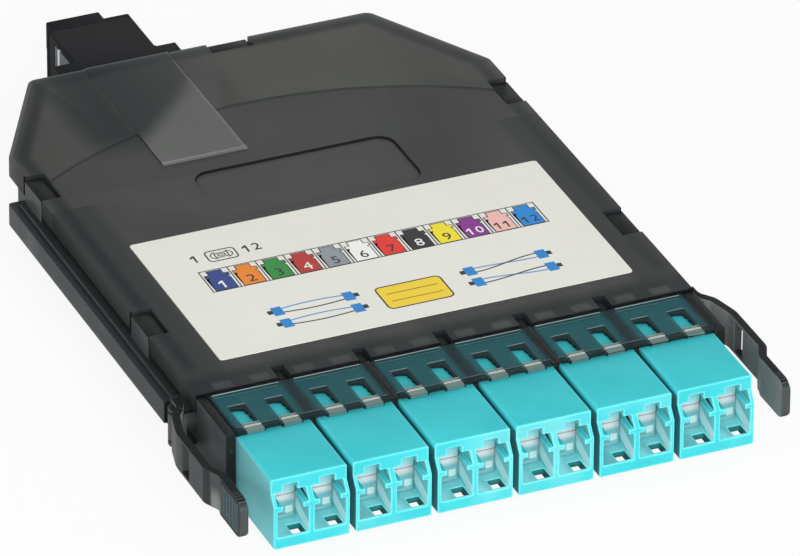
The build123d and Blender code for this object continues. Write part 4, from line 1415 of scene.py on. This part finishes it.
def figures(sheet, words, size, x, y):
    """A number centred on a point, one figure beside the other."""
    for i, sign in enumerate(words):
        place = x + (i - (len(words) - 1) / 2) * 0.56 * size
        if sign == "1":
            draw_one(sheet, size, place, y)
        else:
            sheet.text(sign, size, place, y)


dark_figures, pale_figures = Print(0.012), Print(0.012)
for number in range(1, CELL_COUNT + 1):
    sheet = pale_figures if number in ON_DARK_PLUGS else dark_figures
    size = 3.1 if number < 10 else 2.8
    figures(sheet, str(number), size, CELL_LEFT + (number - 0.5) * CELL_STEP, -15.6)
figures(dark_figures, "1", 3.0, -27.1, -6.75)
figures(dark_figures, "12", 3.0, -17.3, -6.75)
stick("dark_figures", dark_figures.mesh("dark_figures"), black_ink)
stick("pale_figures", pale_figures.mesh("pale_figures"), white_ink)
print("numbers printed:", CELL_COUNT + 2)

# %% [markdown]
# ## Signs on the label
#
# Between the figures 1 and 12 stands the sign for the rear plug, and below the
# cells two diagrams show a duplex cord laid straight and crossed. Both are
# lines and blocks. Arcs are worked out as points, since the print only needs
# a dozen of them.

# %% Rear plug sign
def arc(x, y, radius_x, radius_y, start, end, steps=12):
    """Points on part of an ellipse, angles in degrees."""
    angles = [math.radians(start + (end - start) * i / steps) for i in range(steps + 1)]
    return [(x + radius_x * math.cos(a), y + radius_y * math.sin(a)) for a in angles]


def rounded_box(left, bottom, right, top, radius):
    """Points round a rectangle with rounded corners, closed."""
    path = arc(right - radius, top - radius, radius, radius, 0, 90, 5)
    path += arc(left + radius, top - radius, radius, radius, 90, 180, 5)
    path += arc(left + radius, bottom + radius, radius, radius, 180, 270, 5)
    path += arc(right - radius, bottom + radius, radius, radius, 270, 360, 5)
    return path + path[:1]


sign = Print(0.0)
sign.line(rounded_box(-25.1, -8.5, -20.1, -5.3, 0.7), 0.24)
sign.line(arc(-23.0, -6.9, 1.45, 1.1, 110, 250), 0.18)
sign.line(arc(-22.2, -6.9, 1.45, 1.1, -70, 70), 0.18)
sign.frame(-23.7, -7.55, -21.5, -6.25, 0.2)
sign.frame(-23.2, -7.15, -22.0, -6.65, 0.16)
stick("rear_plug_sign", sign.mesh("rear_plug_sign"), black_ink)
print("sign strokes:", 5)


# %% Cord diagrams
def bowed(left, right, y_left, y_right, bow, steps=14):
    """A line that leaves both ends level and bows between them."""
    path = []
    for i in range(steps + 1):
        t = i / steps
        ease = t * t * (3 - 2 * t)
        y = y_left + (y_right - y_left) * ease + bow * math.sin(math.pi * t)
        path.append((left + (right - left) * t, y))
    return path


BLOCK_WIDTH, BLOCK_HEIGHT, NUB = 1.75, 2.6, 0.85
blocks, nubs, black_lines, grey_lines = Print(0.0), Print(0.0), Print(-0.002), Print(-0.003)
diagrams = [
    {"left": -22.0, "right": -9.8, "left_low": (-31.9, -28.0), "right_low": (-31.9, -28.0), "crossed": False},
    {"left": 11.1, "right": 23.8, "left_low": (-31.9, -28.3), "right_low": (-31.9, -27.7), "crossed": True},
]
for plan in diagrams:
    left, right = plan["left"], plan["right"]
    for x, nub, rows in ((left, left - NUB, "left_low"), (right, right + BLOCK_WIDTH, "right_low")):
        for low in plan[rows]:
            blocks.bar(x, low, x + BLOCK_WIDTH, low + BLOCK_HEIGHT)
            nubs.bar(nub, low + 0.75, nub + NUB, low + 1.85)
    swap, bow = (-1, 0.0) if plan["crossed"] else (1, 0.35)
    for left_low, right_low in zip(plan["left_low"], plan["right_low"]):
        left_y, right_y = left_low + BLOCK_HEIGHT / 2, right_low + BLOCK_HEIGHT / 2
        start = left + BLOCK_WIDTH
        grey_lines.line(bowed(start, right, left_y + 0.6, right_y + 0.6 * swap, bow), 0.30)
        black_lines.line(bowed(start, right, left_y - 0.6, right_y - 0.6 * swap, -bow), 0.28)
stick("cord_blocks", blocks.mesh("cord_blocks"), blue_ink)
stick("cord_nubs", nubs.mesh("cord_nubs"), black_ink)
stick("cord_lines_dark", black_lines.mesh("cord_lines_dark"), black_ink)
stick("cord_lines_grey", grey_lines.mesh("cord_lines_grey"), grey_blue_ink)
print("cord diagrams:", len(diagrams))

# %% Field to write on
field_outline = rounded_box(-4.4, -33.0, 6.8, -26.2, 0.9)
field = Print(-0.002).fill(field_outline[:-1])
stick("writing_field", field.mesh("writing_field"), yellow_ink)
field_lines = Print(0.012).line(field_outline, 0.26)
field_lines.bar(-3.2, -30.9, 5.6, -30.76).bar(-3.2, -28.6, 5.6, -28.46)
stick("writing_field_lines", field_lines.mesh("writing_field_lines"), black_ink)
print("corners of the field's outline:", len(field_outline) - 1)

# %% [markdown]
# ## Floor and light
#
# The cassette lies on a white sweep. Light comes softly from all round, with
# one broad lamp above the front, so that the fronts are brightest and the left
# side is darkest. The floor shines white for the camera and still takes part
# of the lamp's shadow, which ties the case to the ground.

# %% Floor
def floor_material():
    """White sweep: mostly its own white for the camera, partly lit, so a faint shadow stays."""
    finish = Finish("floor_sweep")
    path = finish.node("ShaderNodeLightPath", out="Is Camera Ray")
    lit = finish.node("ShaderNodeBsdfDiffuse", None, {"Color": (0.86, 0.86, 0.86, 1.0)})
    own = finish.node("ShaderNodeEmission", None, {"Color": (1.0, 1.0, 1.0, 1.0), "Strength": 1.0})
    both = finish.node("ShaderNodeMixShader", None, {0: path * 0.90, 1: lit, 2: own})
    finish.node("ShaderNodeOutputMaterial", None, {"Surface": both}, out=None)
    return finish.material


sweep = bmesh.new()
bmesh.ops.create_grid(sweep, x_segments=4, y_segments=4, size=1.5)
floor = put("floor", mesh_of(sweep, "floor"))
floor.data.transform(Matrix.Translation((0.0, 0.0, -0.02 * MM)))
floor.data.materials.append(floor_material())
floor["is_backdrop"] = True
print("floor is 3 m wide")

# %% World and lamp
world = bpy.data.worlds.new("studio")
world.use_nodes = True
bpy.context.scene.world = world
studio = Network(world.node_tree)
seen = studio.node("ShaderNodeLightPath", out="Is Camera Ray")
shine = studio.node("ShaderNodeLightPath", out="Is Glossy Ray")
through = studio.node("ShaderNodeLightPath", out="Is Transmission Ray")
strength = 0.55 + seen.most(shine.most(through)) * 0.45
sky = studio.node("ShaderNodeBackground", None, {"Color": (1.0, 1.0, 1.0, 1.0), "Strength": strength})
studio.node("ShaderNodeOutputWorld", None, {"Surface": sky}, out=None)

lamp = bpy.data.lights.new("broad_lamp", "AREA")
lamp.shape = "RECTANGLE"
lamp.size = 0.9
lamp.size_y = 0.7
lamp.energy = 15.0
lamp_stand = put("broad_lamp", lamp)
towards = Vector((-0.1, -0.9, 0.42)).normalized()
lamp_turn = towards.to_track_quat("Z", "Y").to_matrix().to_4x4()
lamp_stand.matrix_world = Matrix.Translation(towards * 1.2) @ lamp_turn
bpy.context.scene.view_settings.view_transform = "Standard"
print("lamp power:", lamp.energy, "W")

# %% [markdown]
# ## Size of the dressed cassette
#
# Dressing must not change the size, so two boxes are compared: the solids'
# box from the start, and the box of what shows now. Their difference is printed.

# %% Compare both boxes
low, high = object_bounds()
print("growth in mm:", [round(v / MM, 3) for v in (high - low) - (solid_high - solid_low)])
